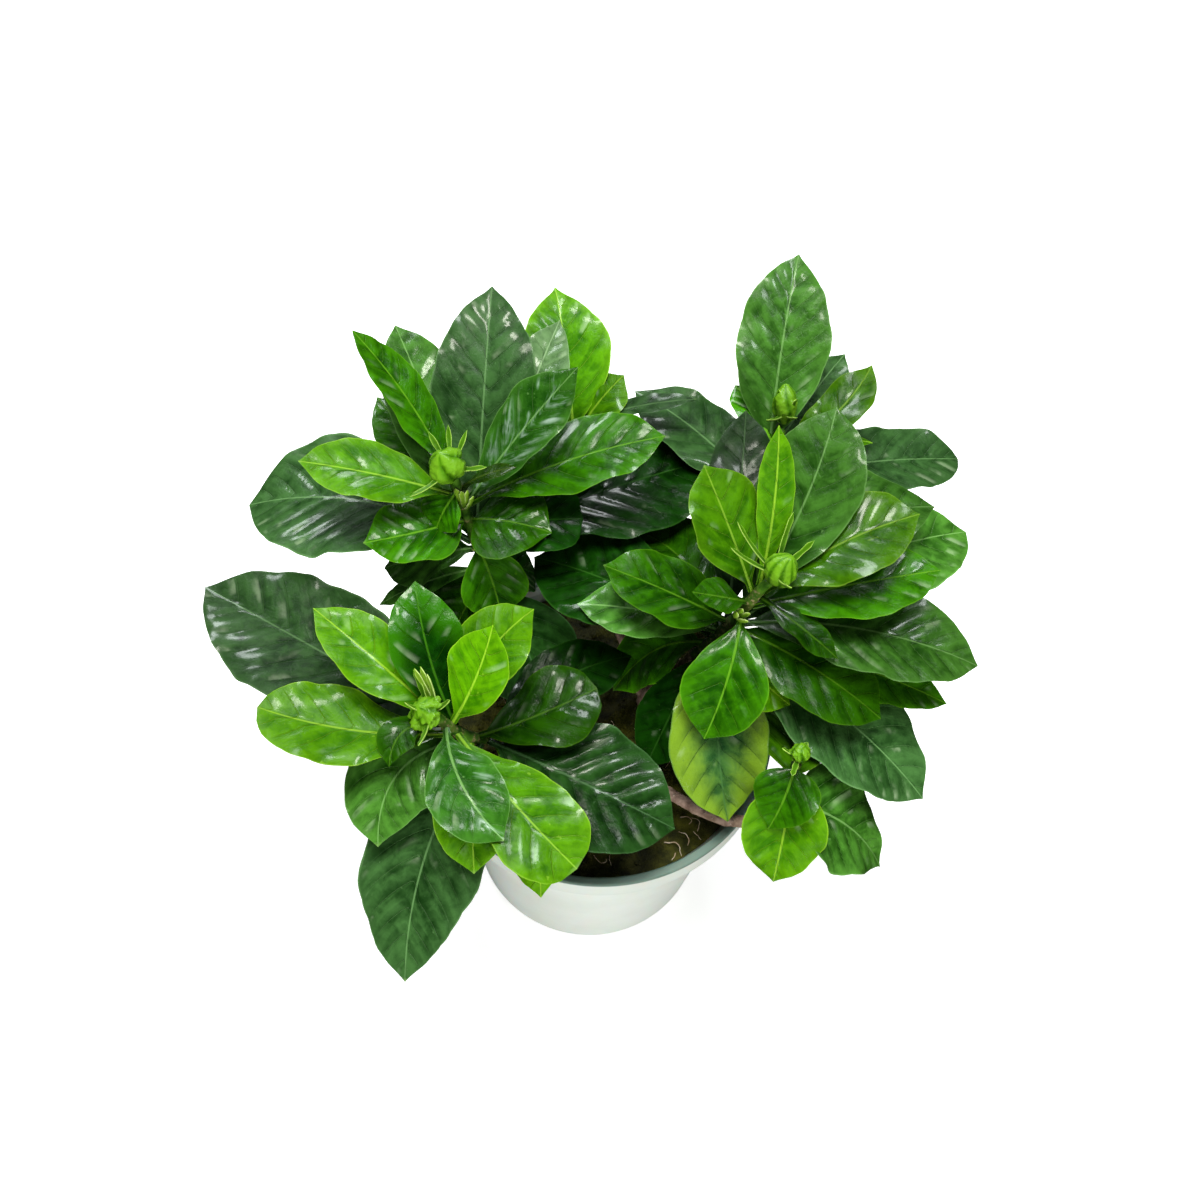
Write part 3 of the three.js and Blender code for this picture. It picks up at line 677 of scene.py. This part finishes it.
def pick(piece):
    clear_choice()
    piece.select_set(True)
    bpy.context.view_layer.objects.active = piece


def points_of(piece):
    points = np.empty(len(piece.data.vertices) * 3)
    piece.data.vertices.foreach_get("co", points)
    return points.reshape(-1, 3)


def move_points(piece, millimetres):
    piece.data.vertices.foreach_set("co", np.ravel(millimetres) * MM)
    piece.data.update()


def note(piece, name, values):
    """Keeps a number, or three, at every point of a piece for its finish to read."""
    values = np.asarray(values, float)
    if values.ndim == 2:
        piece.data.attributes.new(name, "FLOAT_VECTOR", "POINT").data.foreach_set("vector", values.ravel())
    else:
        piece.data.attributes.new(name, "FLOAT", "POINT").data.foreach_set("value", values)


@contextmanager
def all_in_edit_mode():
    """Edit mode with everything selected, for the operators in a with block."""
    bpy.ops.object.mode_set(mode="EDIT")
    bpy.ops.mesh.select_all(action="SELECT")
    yield
    bpy.ops.object.mode_set(mode="OBJECT")


def closed(piece, angle=None):
    """Merges what meets, turns the faces outwards and smooths them."""
    pick(piece)
    with all_in_edit_mode():
        bpy.ops.mesh.remove_doubles(threshold=TOUCHING)
        bpy.ops.mesh.normals_make_consistent(inside=False)
    if angle is None:
        bpy.ops.object.shade_smooth()
    else:
        bpy.ops.object.shade_smooth_by_angle(angle=math.radians(angle))
    return piece


def joined(pieces, name):
    """Several pieces made one."""
    clear_choice()
    for piece in pieces:
        piece.select_set(True)
    bpy.context.view_layer.objects.active = pieces[0]
    if len(pieces) > 1:
        bpy.ops.object.join()
    return fresh(name)


def hand_over(piece, finish, slot, *nodes):
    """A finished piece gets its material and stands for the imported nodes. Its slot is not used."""
    piece.data.materials.clear()
    piece.data.materials.append(FINISHES[finish])
    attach(piece, "root")
    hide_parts(*nodes)
    return piece


def sheet(name, rows, columns):
    """A grid to shape: each point's share along it from 0 to 1, and its column from 0 up."""
    clear_choice()
    bpy.ops.mesh.primitive_grid_add(x_subdivisions=rows, y_subdivisions=columns, size=1)
    piece = fresh(name)
    piece.data.uv_layers[0].name = "OFBake"
    points = points_of(piece)
    return piece, points[:, 0] + 0.5, np.rint((points[:, 1] + 0.5) * columns)


def tube(name, rows, columns):
    """A grid to roll up: each point's share along it, and its turn round it."""
    piece, share, column = sheet(name, rows, columns)
    return piece, share, 2 * math.pi * column / columns


def at_ends(share):
    """The first and the last row of a grid, where a form closes in a point."""
    return (share < 0.001) | (share > 0.999)


def unit(vectors):
    return vectors / np.linalg.norm(vectors, axis=-1, keepdims=True)


def bell(distance, width):
    """1 at a line, falling softly to 0 within about two widths of it."""
    return np.exp(-((distance / width) ** 2))


def spokes(along, turn):
    """The directions that lead away from a line, each at its turn round it."""
    side = unit(np.cross(RIGHT, along))
    return side * np.cos(turn)[:, None] + np.cross(along, side) * np.sin(turn)[:, None]


def arc(root, crest, end, share):
    """The points and the headings of a single bend that is drawn towards its crest."""
    s = share[:, None]
    points = root * (1 - s) ** 2 + 2 * crest * s * (1 - s) + end * s**2
    return points, unit((crest - root) * (1 - s) + (end - crest) * s)


def seen_at(pixel, height):
    """The point at a height that shows at a pixel of the photograph."""
    across = pixel[0] - PHOTO_MIDDLE
    upward = PHOTO_MIDDLE - pixel[1]
    c, s = math.cos(ROLL), math.sin(ROLL)
    aside = RIGHT * (c * across + s * upward) + ABOVE * (c * upward - s * across)
    ray = aside / PHOTO_FOCAL - BACK
    return EYE + ray * (height - EYE[2]) / ray[2]


class StemLine:
    """A stem's middle line: a smooth curve through its points, measured along its length from the foot."""

    def __init__(self, points, steps=250):
        points = np.array(points, float)
        knots = np.vstack([2 * points[0] - points[1], points, 2 * points[-1] - points[-2]])
        t = np.linspace(0, 1, steps, endpoint=False)[:, None]
        runs = []
        for p0, p1, p2, p3 in zip(knots, knots[1:], knots[2:], knots[3:]):
            g0, g1, g2 = (np.linalg.norm(b - a) ** 0.5 for a, b in ((p0, p1), (p1, p2), (p2, p3)))
            leave = ((p1 - p0) / g0 - (p2 - p0) / (g0 + g1) + (p2 - p1) / g1) * g1
            reach = ((p2 - p1) / g1 - (p3 - p1) / (g1 + g2) + (p3 - p2) / g2) * g1
            bend = 3 * (p2 - p1) - 2 * leave - reach
            runs.append(p1 + leave * t + bend * t**2 + (2 * (p1 - p2) + leave + reach) * t**3)
        self.points = np.vstack([*runs, points[-1:]])
        steps = np.linalg.norm(np.diff(self.points, axis=0), axis=1)
        self.lengths = np.concatenate([[0], np.cumsum(steps)])
        self.length = self.lengths[-1]

    def at(self, length):
        return np.stack([np.interp(length, self.lengths, axis) for axis in self.points.T], axis=-1)

    def heading(self, length):
        length = np.clip(length, 0.6, self.length - 0.6)
        return unit(self.at(length + 0.5) - self.at(length - 0.5))


def stem_line(shoot):
    tip, height, via, foot, _ = SHOOTS[shoot]
    x, y = FEET[foot]
    buried = [(x, y, SOIL_TOP + z) for z in (-ROOT_DEPTH, -ROOT_DEPTH / 2, 0, CLEAR_OF_SOIL)]
    return StemLine([*buried, *via[::-1], seen_at(tip, height)])


LINES = {shoot: stem_line(shoot) for shoot in SHOOTS}


def rod(name, line, start, stop, radius, rows, columns):
    """A round rod along a stretch of a stem. radius gives its size at a length and a turn."""
    piece, share, turn = tube(name, rows, columns)
    length = start + (stop - start) * share
    size = np.where(at_ends(share), 0, radius(length, turn))[:, None]
    move_points(piece, line.at(length) + spokes(line.heading(length), turn) * size)
    return piece, length


# Leaves
def half_width(share, width, rise, fall):
    """Half a blade's width at a share of its length: a stalk, a wedge, the widest place and a point."""
    peak = rise / (rise + fall)
    top = peak**rise * (1 - peak) ** fall
    opened = np.clip((share - STALK_SHARE) / (1 - STALK_SHARE), 0, 1)
    spread = width / 2 * opened**rise * (1 - opened) ** fall / top
    end = TIP_HALF * np.sqrt(np.clip((1 - share) / 0.03, 0, 1))
    return np.maximum(np.where(share < 0.5, STALK_HALF, end), spread)


def midrib(leaf):
    """The three points of the curve of a midrib, and the level line across the blade."""
    shoot, _, tip, height, down, *_, bow, sway, _ = leaf
    line = LINES[shoot]
    root = line.at(line.length - down)
    stem = line.heading(line.length - down)
    end = seen_at(tip, height)
    outward = end - root
    outward = unit(outward - stem * (outward @ stem))
    root = root + outward * STALK_START
    chord = end - root
    side = unit(np.cross(chord * (1, 1, 0), UP))
    lift = unit(np.cross(side, chord))
    bend = (lift * bow + side * sway) * np.linalg.norm(chord)
    return root, root + chord / 2 + 2 * bend, end, side


def leaf_blade(number, leaf):
    """One leaf as a closed blade, with what its finish needs to know kept at its points."""
    shoot, age, _, _, _, width, tone, shade, *_, more = leaf
    root, crest, end, side = midrib(leaf)
    course, _ = arc(root, crest, end, np.linspace(0, 1, ARC_STEPS))
    span = np.linalg.norm(np.diff(course, axis=0), axis=1).sum()
    upper = 4 * max(2, round(width / COLUMN / 4))
    rows = max(FEWEST_ROWS, round(span / STATION))
    piece, share, column = sheet(f"leaf_{shoot}_{number:02d}", rows, upper + upper // 2)

    # The columns run over the top from edge to edge and come back below, closer together at the midrib
    over = column <= upper
    even = np.where(over, 1 - 2 * column / upper, -1 + 4 * (column - upper) / upper)
    lateral = np.sign(even) * np.abs(even) ** COLUMN_EASE
    hand, outer = np.sign(lateral), np.abs(lateral)
    centre, along = arc(root, crest, end, share)
    across = unit(side - along * (along @ side)[:, None])
    roll = math.radians(more.get("roll", 0))
    across = across * math.cos(roll) + np.cross(along, across) * math.sin(roll)
    face = np.cross(across, along)

    # The outline, which wavers and nicks in its own way on either side and draws in to a drip tip
    fall = more.get("fall", USUAL_FALL)
    half = half_width(share, width, more.get("rise", RISE[age]), fall)
    body = np.clip((share - END_SHARE) / 0.15, 0, 1) * np.clip((1 - share) / END_SHARE, 0, 1)
    turn = span / RHYTHM * share
    half = half * (1 + body * hand * WAVER * np.sin(WAVER_TURNS * turn + 1.7 * number))
    half = half * (1 + body * NICK * np.sin(NICK_TURNS * turn + number + 2 * hand))
    if fall > BLUNT:
        half = half * (1 - DRIP * bell((1 - share) * span, DRIP_LENGTH))
    reach = half * outer

    # How far the surface rises: a soft fold that curls back, waves, and a flutter and a frill at the edge
    room = np.minimum(1, half / WAVE_HALF)
    ripple = np.sin(2 * math.pi * WAVES * share + number + WAVE_SHIFT * lateral)
    crease = CREASE / np.maximum(half, CREASE)
    soft = np.sqrt(outer**2 + crease**2) - crease
    rise = half * FOLD[age] * (soft - CURL * outer**2) + WAVE * ripple * outer**2 * room
    flutter = np.sin(FLUTTER_TURNS * turn + 2.3 * number + 1.9 * hand)
    frill = np.sin(FRILL_TURNS * turn + 1.1 * number + hand)
    rise = rise + body * room * (FLUTTER * flutter * outer**4 + FRILL * frill * outer**6)

    # Side veins slant towards the tip. The phase counts the panels between them, from the stalk on.
    pairs = min(MOST_VEINS, max(FEWEST_VEINS, span / VEIN_SPACING))
    lag = (VEIN_SLANT * reach + VEIN_CURVE * reach**2 / np.maximum(half, 1)) / span
    drift = VEIN_DRIFT * np.sin(7 * share + number) * outer
    stagger = VEIN_STAGGER * np.clip(lateral * 12, -1, 1)
    phase = VEIN_START + pairs * (share - lag) + stagger + drift
    panel = np.sin(math.pi * np.mod(phase, 1)) ** QUILT_FORM - QUILT_FORM
    clear = (1 - bell(reach, QUILT_CLEAR)) * (1 - outer**4) * body
    quilt = TONES[tone][5] * min(QUILT_MOST, width / QUILT_WIDTH) * panel * clear
    scallop = SCALLOP * panel * outer**4 * body

    # The top, and below it the thickness, which grows into a round stalk and a keel under the midrib
    rib = RIB_HEIGHT * bell(reach, RIB_WIDTH) * (1 - share)
    keel = KEEL_HEIGHT * bell(reach, KEEL_WIDTH) * (1 - share) ** 0.7
    stalk = np.clip(1 - share / STALK_SHARE / 2, 0, 1)
    lens = np.sqrt(np.clip(1 - outer ** (2 + 5 * (1 - stalk)), 0, 1))
    thick = (BLADE + (STALK_THICK - BLADE) * stalk) * lens
    level = np.where(over, rise + quilt + rib, rise + 0.6 * quilt - thick - keel)
    spread, level = (np.where(at_ends(share), 0, way) for way in (half * lateral + scallop * hand, level))
    move_points(piece, centre + across * spread[:, None] + face * level[:, None])

    shown = over | (outer > 1 - 1e-6)
    pattern = np.full_like(share, PATTERN_STEP * number)
    note(piece, "place", np.stack([share, lateral, shown * 1.0], axis=1))
    note(piece, "flat", np.stack([share * span * MM, half * lateral * MM, pattern], axis=1))
    note(piece, "vein", phase)
    note(piece, "shade", np.full_like(share, shade))
    closed(piece, 50)
    return hand_over(piece, tone, f"{age}_leaf", f"shoot_{shoot}_{age}_leaves")


# Stems
def scars_of(shoot, length):
    """1 at the rings where leaves grow or have grown, 0 between them."""
    rings = [LINES[shoot].length - leaf[4] for leaf in LEAVES if leaf[0] == shoot]
    return np.max([bell(length - ring, SCAR_LENGTH) for ring in rings], axis=0)


def green_shoot(shoot):
    """The new stem of a shoot, from the top of the wood to the foot of the bud."""
    line = LINES[shoot]
    start, stop = line.length - SHOOTS[shoot][4] - SET_IN_WOOD, line.length

    def radius(length, turn):
        share = (length - start) / (stop - start)
        plain = GREEN_RADIUS + (TIP_RADIUS - GREEN_RADIUS) * share
        return plain + SCAR_RISE * scars_of(shoot, length) + 0.06 * np.sin(3 * turn + length / 3)

    rows = max(14, round((stop - start) / 0.7))
    piece, length = rod(f"green_stem_{shoot}", line, start, stop, radius, rows, 18)
    note(piece, "scar", scars_of(shoot, length))
    closed(piece)
    nodes = [f"shoot_{shoot}_{age}_leaves" for age in ("old", "young") if (shoot, age) != ("f", "old")]
    return hand_over(piece, "green_stem", "young_leaf", *nodes)


def woody_stem(foot):
    """One stem with its branches grown together, its bark ringed by old leaf scars."""
    limbs = []
    for shoot, (_, _, _, stands, wood) in SHOOTS.items():
        if stands != foot:
            continue
        line = LINES[shoot]
        stop = line.length - wood

        def radius(length, turn):
            ring = np.exp(-((np.mod(length + 4 * len(limbs), RING_SPACING) - 5) ** 2) / 1.4)
            plain = WOOD_RADIUS + (GREEN_RADIUS - WOOD_RADIUS) * length / stop
            uneven = 0.05 * np.sin(2 * turn + length / 9) + 0.035 * np.sin(5 * turn - length / 5)
            return plain * (1 + uneven) + RING_RISE * ring

        limb, _ = rod(f"limb_{shoot}", line, 0, stop, radius, round(stop / 0.8), 28)
        limbs.append(closed(limb))
    stem = joined(limbs, f"woody_stem_{foot}_bark")
    grown = stem.modifiers.new("grown_together", "REMESH")
    grown.mode = "VOXEL"
    grown.voxel_size = BARK_GRAIN * MM
    bpy.ops.object.modifier_apply(modifier="grown_together")
    points = points_of(stem)
    normals = np.array([v.normal for v in stem.data.vertices])
    rough = np.array([noise.fractal(Vector(p), 1.0, 2.0, 3) for p in points * (700, 700, 240)])
    move_points(stem, points / MM + normals * (BARK_RELIEF * rough)[:, None])
    note(stem, "scar", np.clip(rough * 0.5 - 0.1, 0, 1))
    closed(stem)
    return hand_over(stem, "bark", "wood", f"woody_stem_{foot}")


# Flower buds
def bud_axis(name):
    """Where a bud starts, just clear of the stem's end, and the way that it points."""
    line = LINES[name]
    stem = line.heading(line.length)
    along = stem if BUDS[name][3] is None else unit(np.array(BUDS[name][3]))
    lean = math.acos(min(1.0, float(along @ stem)))
    clear = (GAP + BUD_FOOT * math.sin(lean)) / math.cos(lean)
    return line.at(line.length) + along * clear, along


def bud_body(name):
    """The folded petals: a plump body with twisted ribs, drawn to a blunt point."""
    length, radius, _, _, ribs, furrow, lumps, _ = BUDS[name]
    foot, along = bud_axis(name)
    piece, share, turn = tube(f"bud_{name}", 44, 72)
    swell = radius * np.sin(math.pi * (0.04 + 0.93 * share**0.9)) ** 0.75
    rib = np.abs(np.cos(ribs * (turn + BUD_TWIST * share) / 2)) ** 0.6
    reach = swell * (1 - furrow + 1.2 * furrow * rib * np.sin(math.pi * np.clip(share, 0, 1)) ** 0.5)
    reach = reach * (1 + 0.05 * np.sin(turn + 1.3) + 0.04 * np.sin(2 * turn + 5 * share))
    outward = spokes(along, turn)
    middle = foot + along * (length * share)[:, None]
    skin = middle + outward * reach[:, None]
    lump = np.array([noise.fractal(Vector(p * LUMP_PITCH), 0.9, 2.0, 3) for p in skin])
    reach = np.where(at_ends(share), 0, np.maximum(reach * (1 + lumps * lump), 0.05))
    move_points(piece, middle + outward * reach[:, None])
    note(piece, "share", share)
    note(piece, "rib", np.clip(rib + 1.6 * lumps * lump, 0, 1))
    closed(piece)
    return hand_over(piece, "bud", "bud", f"flower_bud_{name}")


def strap(name, root, end, axis, width=1.0):
    """A narrow strap from root to tip, which leans out from an axis and is troughed along its middle."""
    chord = end - root
    across = unit(np.cross(chord, axis))
    face = unit(np.cross(across, chord))
    crest = root + chord / 2 - face * SEPAL_BEND * np.linalg.norm(chord)
    piece, share, turn = tube(name, 30, 16)
    centre, along = arc(root, crest, end, share)
    over = np.cross(across, along)
    half = width * np.interp(share, [0, 0.15, 0.6, 0.86, 1], [0.75, 0.8, 0.9, 0.8, 0.0])
    half = half * (1 + 0.12 * np.sin(17 * share + root[0]))
    thick = np.interp(share, [0, 0.3, 1], [0.6, 0.42, 0.3]) * np.clip((1 - share) / 0.05, 0, 1)
    level = thick * np.sin(turn) + 0.45 * half * np.cos(turn) ** 2
    spread, level = (np.where(at_ends(share), 0, way)[:, None] for way in (half * np.cos(turn), level))
    move_points(piece, centre + across * spread + over * level)
    note(piece, "share", share)
    note(piece, "rib", np.abs(np.cos(turn)) ** 3)
    return closed(piece)


def sepal(name, count, pixel):
    """A strap that stands out of the bud's foot and ends where the photograph shows it."""
    length, _, rise, *_ = BUDS[name]
    foot, along = bud_axis(name)
    root = foot + along * length * SEPAL_ROOT
    piece = strap(f"sepal_{name}_{count}", root, seen_at(pixel, root[2] + rise), along)
    return hand_over(piece, "sepal", "bud", f"flower_bud_{name}")


def claw(number, shoot, down, height, width, tips):
    """A few scale leaves that stand out of a stem together, joined as one piece."""
    line = LINES[shoot]
    root = line.at(line.length - down)
    along = line.heading(line.length - down)
    fingers = []
    for count, pixel in enumerate(tips):
        fingers.append(strap(f"claw_{number}_{count}", root, seen_at(pixel, height), along, width))
    piece = joined(fingers, f"scale_leaves_{number}")
    return hand_over(piece, "scales", "young_leaf", f"shoot_{shoot}_young_leaves")


# Pot and soil
def rounded(corners):
    """An outline through corners of reach, height and rounding, each corner drawn as a short arc."""
    outline = []
    places = [np.array(corner[:2], float) for corner in corners]
    for index, (*_, rounding) in enumerate(corners):
        corner = places[index]
        if not rounding:
            outline.append(corner)
            continue
        sides = (places[index - 1], places[(index + 1) % len(places)])
        start, stop = (corner + unit(side - corner) * rounding for side in sides)
        outline.extend(arc(start, corner, stop, np.linspace(0, 1, CORNER_STEPS + 1))[0])
    return np.array(outline)


def turned_pot():
    """The pot: the outline of its wall, spun round the axis, with drain holes cut in the floor."""
    outline = rounded([
        (0, 0, 0), (BASE_RADIUS - 6, 0, 0), (BASE_RADIUS, 0, 1.4), (NECK_RADIUS - 0.4, LIP_BOTTOM - 8, 0),
        (NECK_RADIUS, LIP_BOTTOM, 0.5), (RIM_RADIUS, LIP_BOTTOM, 0.8), (RIM_RADIUS, LIP_BOTTOM + 6, 0),
        (RIM_RADIUS, POT_HEIGHT, 0.8), (MOUTH_RADIUS, POT_HEIGHT, 0.8), (MOUTH_RADIUS, LEDGE_TOP, 1.2),
        (LEDGE_RADIUS, LEDGE_BOTTOM, 1.2), (LEDGE_RADIUS - 4, POT_HEIGHT / 2 - 5, 0),
        (BASE_RADIUS - WALL, FLOOR, 2.0), (0, FLOOR, 0),
    ])
    clear_choice()
    bpy.ops.mesh.primitive_circle_add(vertices=len(outline), radius=0.01, fill_type="NOTHING")
    pot = fresh("pot_shell")
    move_points(pot, np.stack([outline[:, 0], 0 * outline[:, 0], outline[:, 1]], axis=1))
    with all_in_edit_mode():
        bpy.ops.mesh.spin(steps=POT_SIDES, angle=2 * math.pi, center=(0, 0, 0), axis=(0, 0, 1))
    closed(pot, 40)
    clear_choice()
    bpy.ops.mesh.primitive_cylinder_add(
        vertices=40, radius=DRAIN_RADIUS * MM, depth=0.02, location=(DRAIN_CIRCLE * MM, 0, 0),
    )
    drill = fresh("drill")
    bpy.ops.object.transform_apply(location=True, rotation=True, scale=True)
    with all_in_edit_mode():
        for _ in range(DRAIN_COUNT - 1):
            bpy.ops.mesh.duplicate()
            bpy.ops.transform.rotate(
                value=2 * math.pi / DRAIN_COUNT, orient_axis="Z", center_override=(0, 0, 0),
            )
    pick(pot)
    cut = pot.modifiers.new("drain_holes", "BOOLEAN")
    cut.operation = "DIFFERENCE"
    cut.solver = "EXACT"
    cut.object = drill
    bpy.ops.object.modifier_apply(modifier="drain_holes")
    bpy.data.objects.remove(drill)
    pick(pot)
    bpy.ops.object.shade_smooth_by_angle(angle=math.radians(40))
    return hand_over(pot, "pot", "pot", "pot")


def ground(x, y):
    """The height of the soil at a place: low lumps that die out at the wall, and finer clods."""
    lumps = np.sin(0.31 * x + 1.3) * np.cos(0.27 * y) + 0.5 * np.sin(0.55 * x - 0.4 * y)
    reach = np.hypot(x, y)
    plain = SOIL_TOP + SOIL_RELIEF * lumps * (1 - reach / RIM_RADIUS)
    pitches = zip(x * CLOD_PITCH, y * CLOD_PITCH)
    clods = np.array([noise.fractal(Vector((a, b, 3.1)), 0.9, 2.1, 5) for a, b in pitches])
    return plain + CLOD_RISE * clods * np.clip((MOUTH_RADIUS - 0.5 - reach) / 3, 0.2, 1)


def ground_at(x, y):
    return float(ground(np.array([x]), np.array([y]))[0])


def spot(draw, limit):
    """A place on the round bed, drawn evenly."""
    reach, turn = limit * math.sqrt(draw.random()), 2 * math.pi * draw.random()
    return reach * math.cos(turn), reach * math.sin(turn)


def soil_body():
    """The bed: from the middle of its top out to the wall, down it and back below."""
    piece, share, turn = tube("soil_bed", 96, 220)
    places = [0, 0.8, 0.82, 0.92, 0.94, 1]
    low, foot = BASE_RADIUS - WALL - GAP, FLOOR + GAP
    reach = np.interp(share, places, [0, SOIL_EDGE, SOIL_EDGE, LEDGE_RADIUS - GAP, low, 0])
    height = np.interp(share, places, [SOIL_TOP, SOIL_TOP, SOIL_TOP - 0.4, LEDGE_BOTTOM, foot, foot])
    x, y = reach * np.cos(turn), reach * np.sin(turn)
    height = np.where(share <= places[1], ground(x, y), height)
    move_points(piece, np.stack([x, y, height], axis=1))
    closed(piece, 60)
    return hand_over(piece, "soil", "soil", "soil")


def scatter(name, base, places):
    """Copies of one small shape, stretched, turned and set at their places, as one mesh."""
    points = points_of(base)
    corners = np.array([tuple(face.vertices) for face in base.data.polygons])
    made = [(points * stretch) @ np.array(turn).T + where for where, stretch, turn in places]
    faces = np.vstack([corners + index * len(points) for index in range(len(places))])
    heap = bpy.data.meshes.new(name)
    heap.from_pydata(np.vstack(made) * MM, [], faces.tolist())
    heap.update()
    bpy.data.objects.remove(base)
    return closed(added(name, heap), 35)


def crumbs():
    """Loose crumbs and bits of bark on the soil."""
    draw = np.random.default_rng(11)
    clear_choice()
    bpy.ops.mesh.primitive_ico_sphere_add(subdivisions=2, radius=1)
    base = fresh("crumb")
    points = points_of(base)
    lumpy = np.array([1 + 0.35 * noise.noise(Vector(p) * 1.9) for p in points])
    base.data.vertices.foreach_set("co", (points * lumpy[:, None]).ravel())
    places = []
    for _ in range(CRUMBS):
        x, y = spot(draw, CRUMB_LIMIT)
        size = 0.35 + 1.0 * draw.random() ** 2.5
        flat, long = draw.uniform(0.4, 1.0), draw.uniform(0.8, 1.9)
        turn = Matrix.Rotation(draw.uniform(0, 2 * math.pi), 3, "Z")
        tilt = Matrix.Rotation(draw.normal(0, 0.5), 3, "X")
        where = (x, y, ground_at(x, y) + 0.2 * size)
        places.append((where, (size * long, size, size * flat), turn @ tilt))
    return hand_over(scatter("soil_crumbs", base, places), "soil", "soil", "soil")


def rootlets():
    """Fine pale roots that lie on the soil and lift off it in small loops."""
    draw = np.random.default_rng(5)
    starts = [(seen_at(pixel, SOIL_TOP + 1)[:2], long) for pixel, long in SEEN_ROOTLETS]
    while len(starts) < ROOTLETS:
        starts.append((spot(draw, ROOTLET_LIMIT), draw.uniform(4, 13)))
    strands = []
    for index, ((x, y), long) in enumerate(starts):
        heading = draw.uniform(0, 2 * math.pi)
        curl = draw.normal(0, 0.22)
        loop = 0.36 + (index % 3) * 0.45
        path = []
        for step in range(ROOTLET_STEPS + 1):
            x = x + long / ROOTLET_STEPS * math.cos(heading)
            y = y + long / ROOTLET_STEPS * math.sin(heading)
            heading += curl + draw.normal(0, 0.28)
            if math.hypot(x, y) > SOIL_EDGE - 0.1:
                break
            lift = 0.25 + loop * math.sin(math.pi * step / ROOTLET_STEPS)
            path.append((x, y, ground_at(x, y) + lift))
        if len(path) <= 4:
            continue
        line, thick = StemLine(path, 12), draw.uniform(0.13, 0.26)

        def radius(length, turn):
            return thick * (1 - 0.5 * length / line.length)

        strand, _ = rod(f"rootlet_{index}", line, 0, line.length, radius, 26, 6)
        strands.append(closed(strand))
    return hand_over(joined(strands, "soil_rootlets"), "root", "soil", "soil")


turned_pot()
soil_body()
crumbs()
rootlets()
for foot in FEET:
    woody_stem(foot)
for shoot in SHOOTS:
    green_shoot(shoot)
for number, leaf in enumerate(LEAVES):
    leaf_blade(number, leaf)
for name, (*_, tips) in BUDS.items():
    bud_body(name)
    for count, pixel in enumerate(tips):
        sepal(name, count, pixel)
for number, scales in enumerate(CLAWS):
    claw(number, *scales)


# The studio
def floor():
    """A pale sheet of paper that gives a little light and shows in no gloss."""
    clear_choice()
    bpy.ops.mesh.primitive_plane_add(size=6, location=(0, 0, 0))
    piece = fresh("studio_floor")
    finish = Finish("studio_paper")
    cloud = finish.speckle(finish.here(), 3, 2)
    colour = finish.mix(cloud, hue(250, 250, 250), hue(252, 252, 252))
    piece.data.materials.append(finish.surface(
        Base_Color=colour,
        Roughness=0.9,
        Specular_IOR_Level=0.0,
        Emission_Color=hue(255, 255, 255),
        Emission_Strength=0.45,
    ))
    piece.visible_diffuse = False
    piece.visible_glossy = False


def lamp(name, place, size, power, colour, glints=True, aim=PLANT_MIDDLE):
    """A round lamp that lights the plant. Only the small ones glint on it."""
    light = bpy.data.lights.new(name, "AREA")
    light.shape = "DISK"
    light.size = size
    light.energy = power
    light.color = colour
    held = added(name, light)
    held.visible_glossy = glints
    held.location = place
    held.rotation_euler = (Vector(aim) - Vector(place)).to_track_quat("-Z", "Y").to_euler()


def studio():
    """The floor, the lamps and a faint light from all round."""
    floor()
    lamp("skylight", (-0.1, 0.12, 1.35), 0.7, 19, (0.99, 1.0, 1.0), glints=False)
    lamp("front", (0.45, -1.0, 0.95), 0.9, 4, (1.0, 0.99, 0.97), glints=False)
    lamp("low_front", (0.1, -1.0, 0.1), 0.5, 12, (1.0, 1.0, 1.0), glints=False, aim=(0, 0, 0.05))
    lamp("ceiling_lamp", (0.0, 0.2, 1.4), 0.24, 4.0, (1.0, 0.98, 0.88))
    lamp("left_window", (-0.6, 0.75, 1.05), 0.28, 3.6, (0.93, 0.98, 1.0))
    lamp("right_window", (0.5, 0.22, 1.25), 0.22, 2.8, (0.95, 0.98, 1.0))
    lamp("low_window", (-0.1, 1.1, 0.72), 0.28, 2.0, (0.95, 0.98, 1.0))
    world = bpy.data.worlds.new("studio_air")
    world.use_nodes = True
    air = world.node_tree.nodes["Background"]
    air.inputs["Color"].default_value = (1.0, 1.0, 1.0, 1.0)
    air.inputs["Strength"].default_value = 0.12
    world.cycles_visibility.glossy = False
    bpy.context.scene.world = world
    settings = bpy.context.scene.view_settings
    settings.view_transform = "Standard"
    settings.look = "None"
    settings.exposure = 0.0


def camera():
    """The camera as it stood for the photograph."""
    c, s = math.cos(ROLL), math.sin(ROLL)
    lens = bpy.data.cameras.new("photo_view")
    lens.sensor_width = SENSOR
    lens.lens = SENSOR * PHOTO_FOCAL / PHOTO_SIZE
    lens.clip_start = NEAREST
    held = added("photo_view", lens)
    turned = Matrix((RIGHT * c - ABOVE * s, RIGHT * s + ABOVE * c, BACK)).transposed().to_4x4()
    held.matrix_world = Matrix.Translation(Vector(EYE * MM)) @ turned
    bpy.context.scene.camera = held


studio()
camera()


def plain(box):
    """A box's corners as plain lists."""
    return [[float(number) for number in corner] for corner in box]
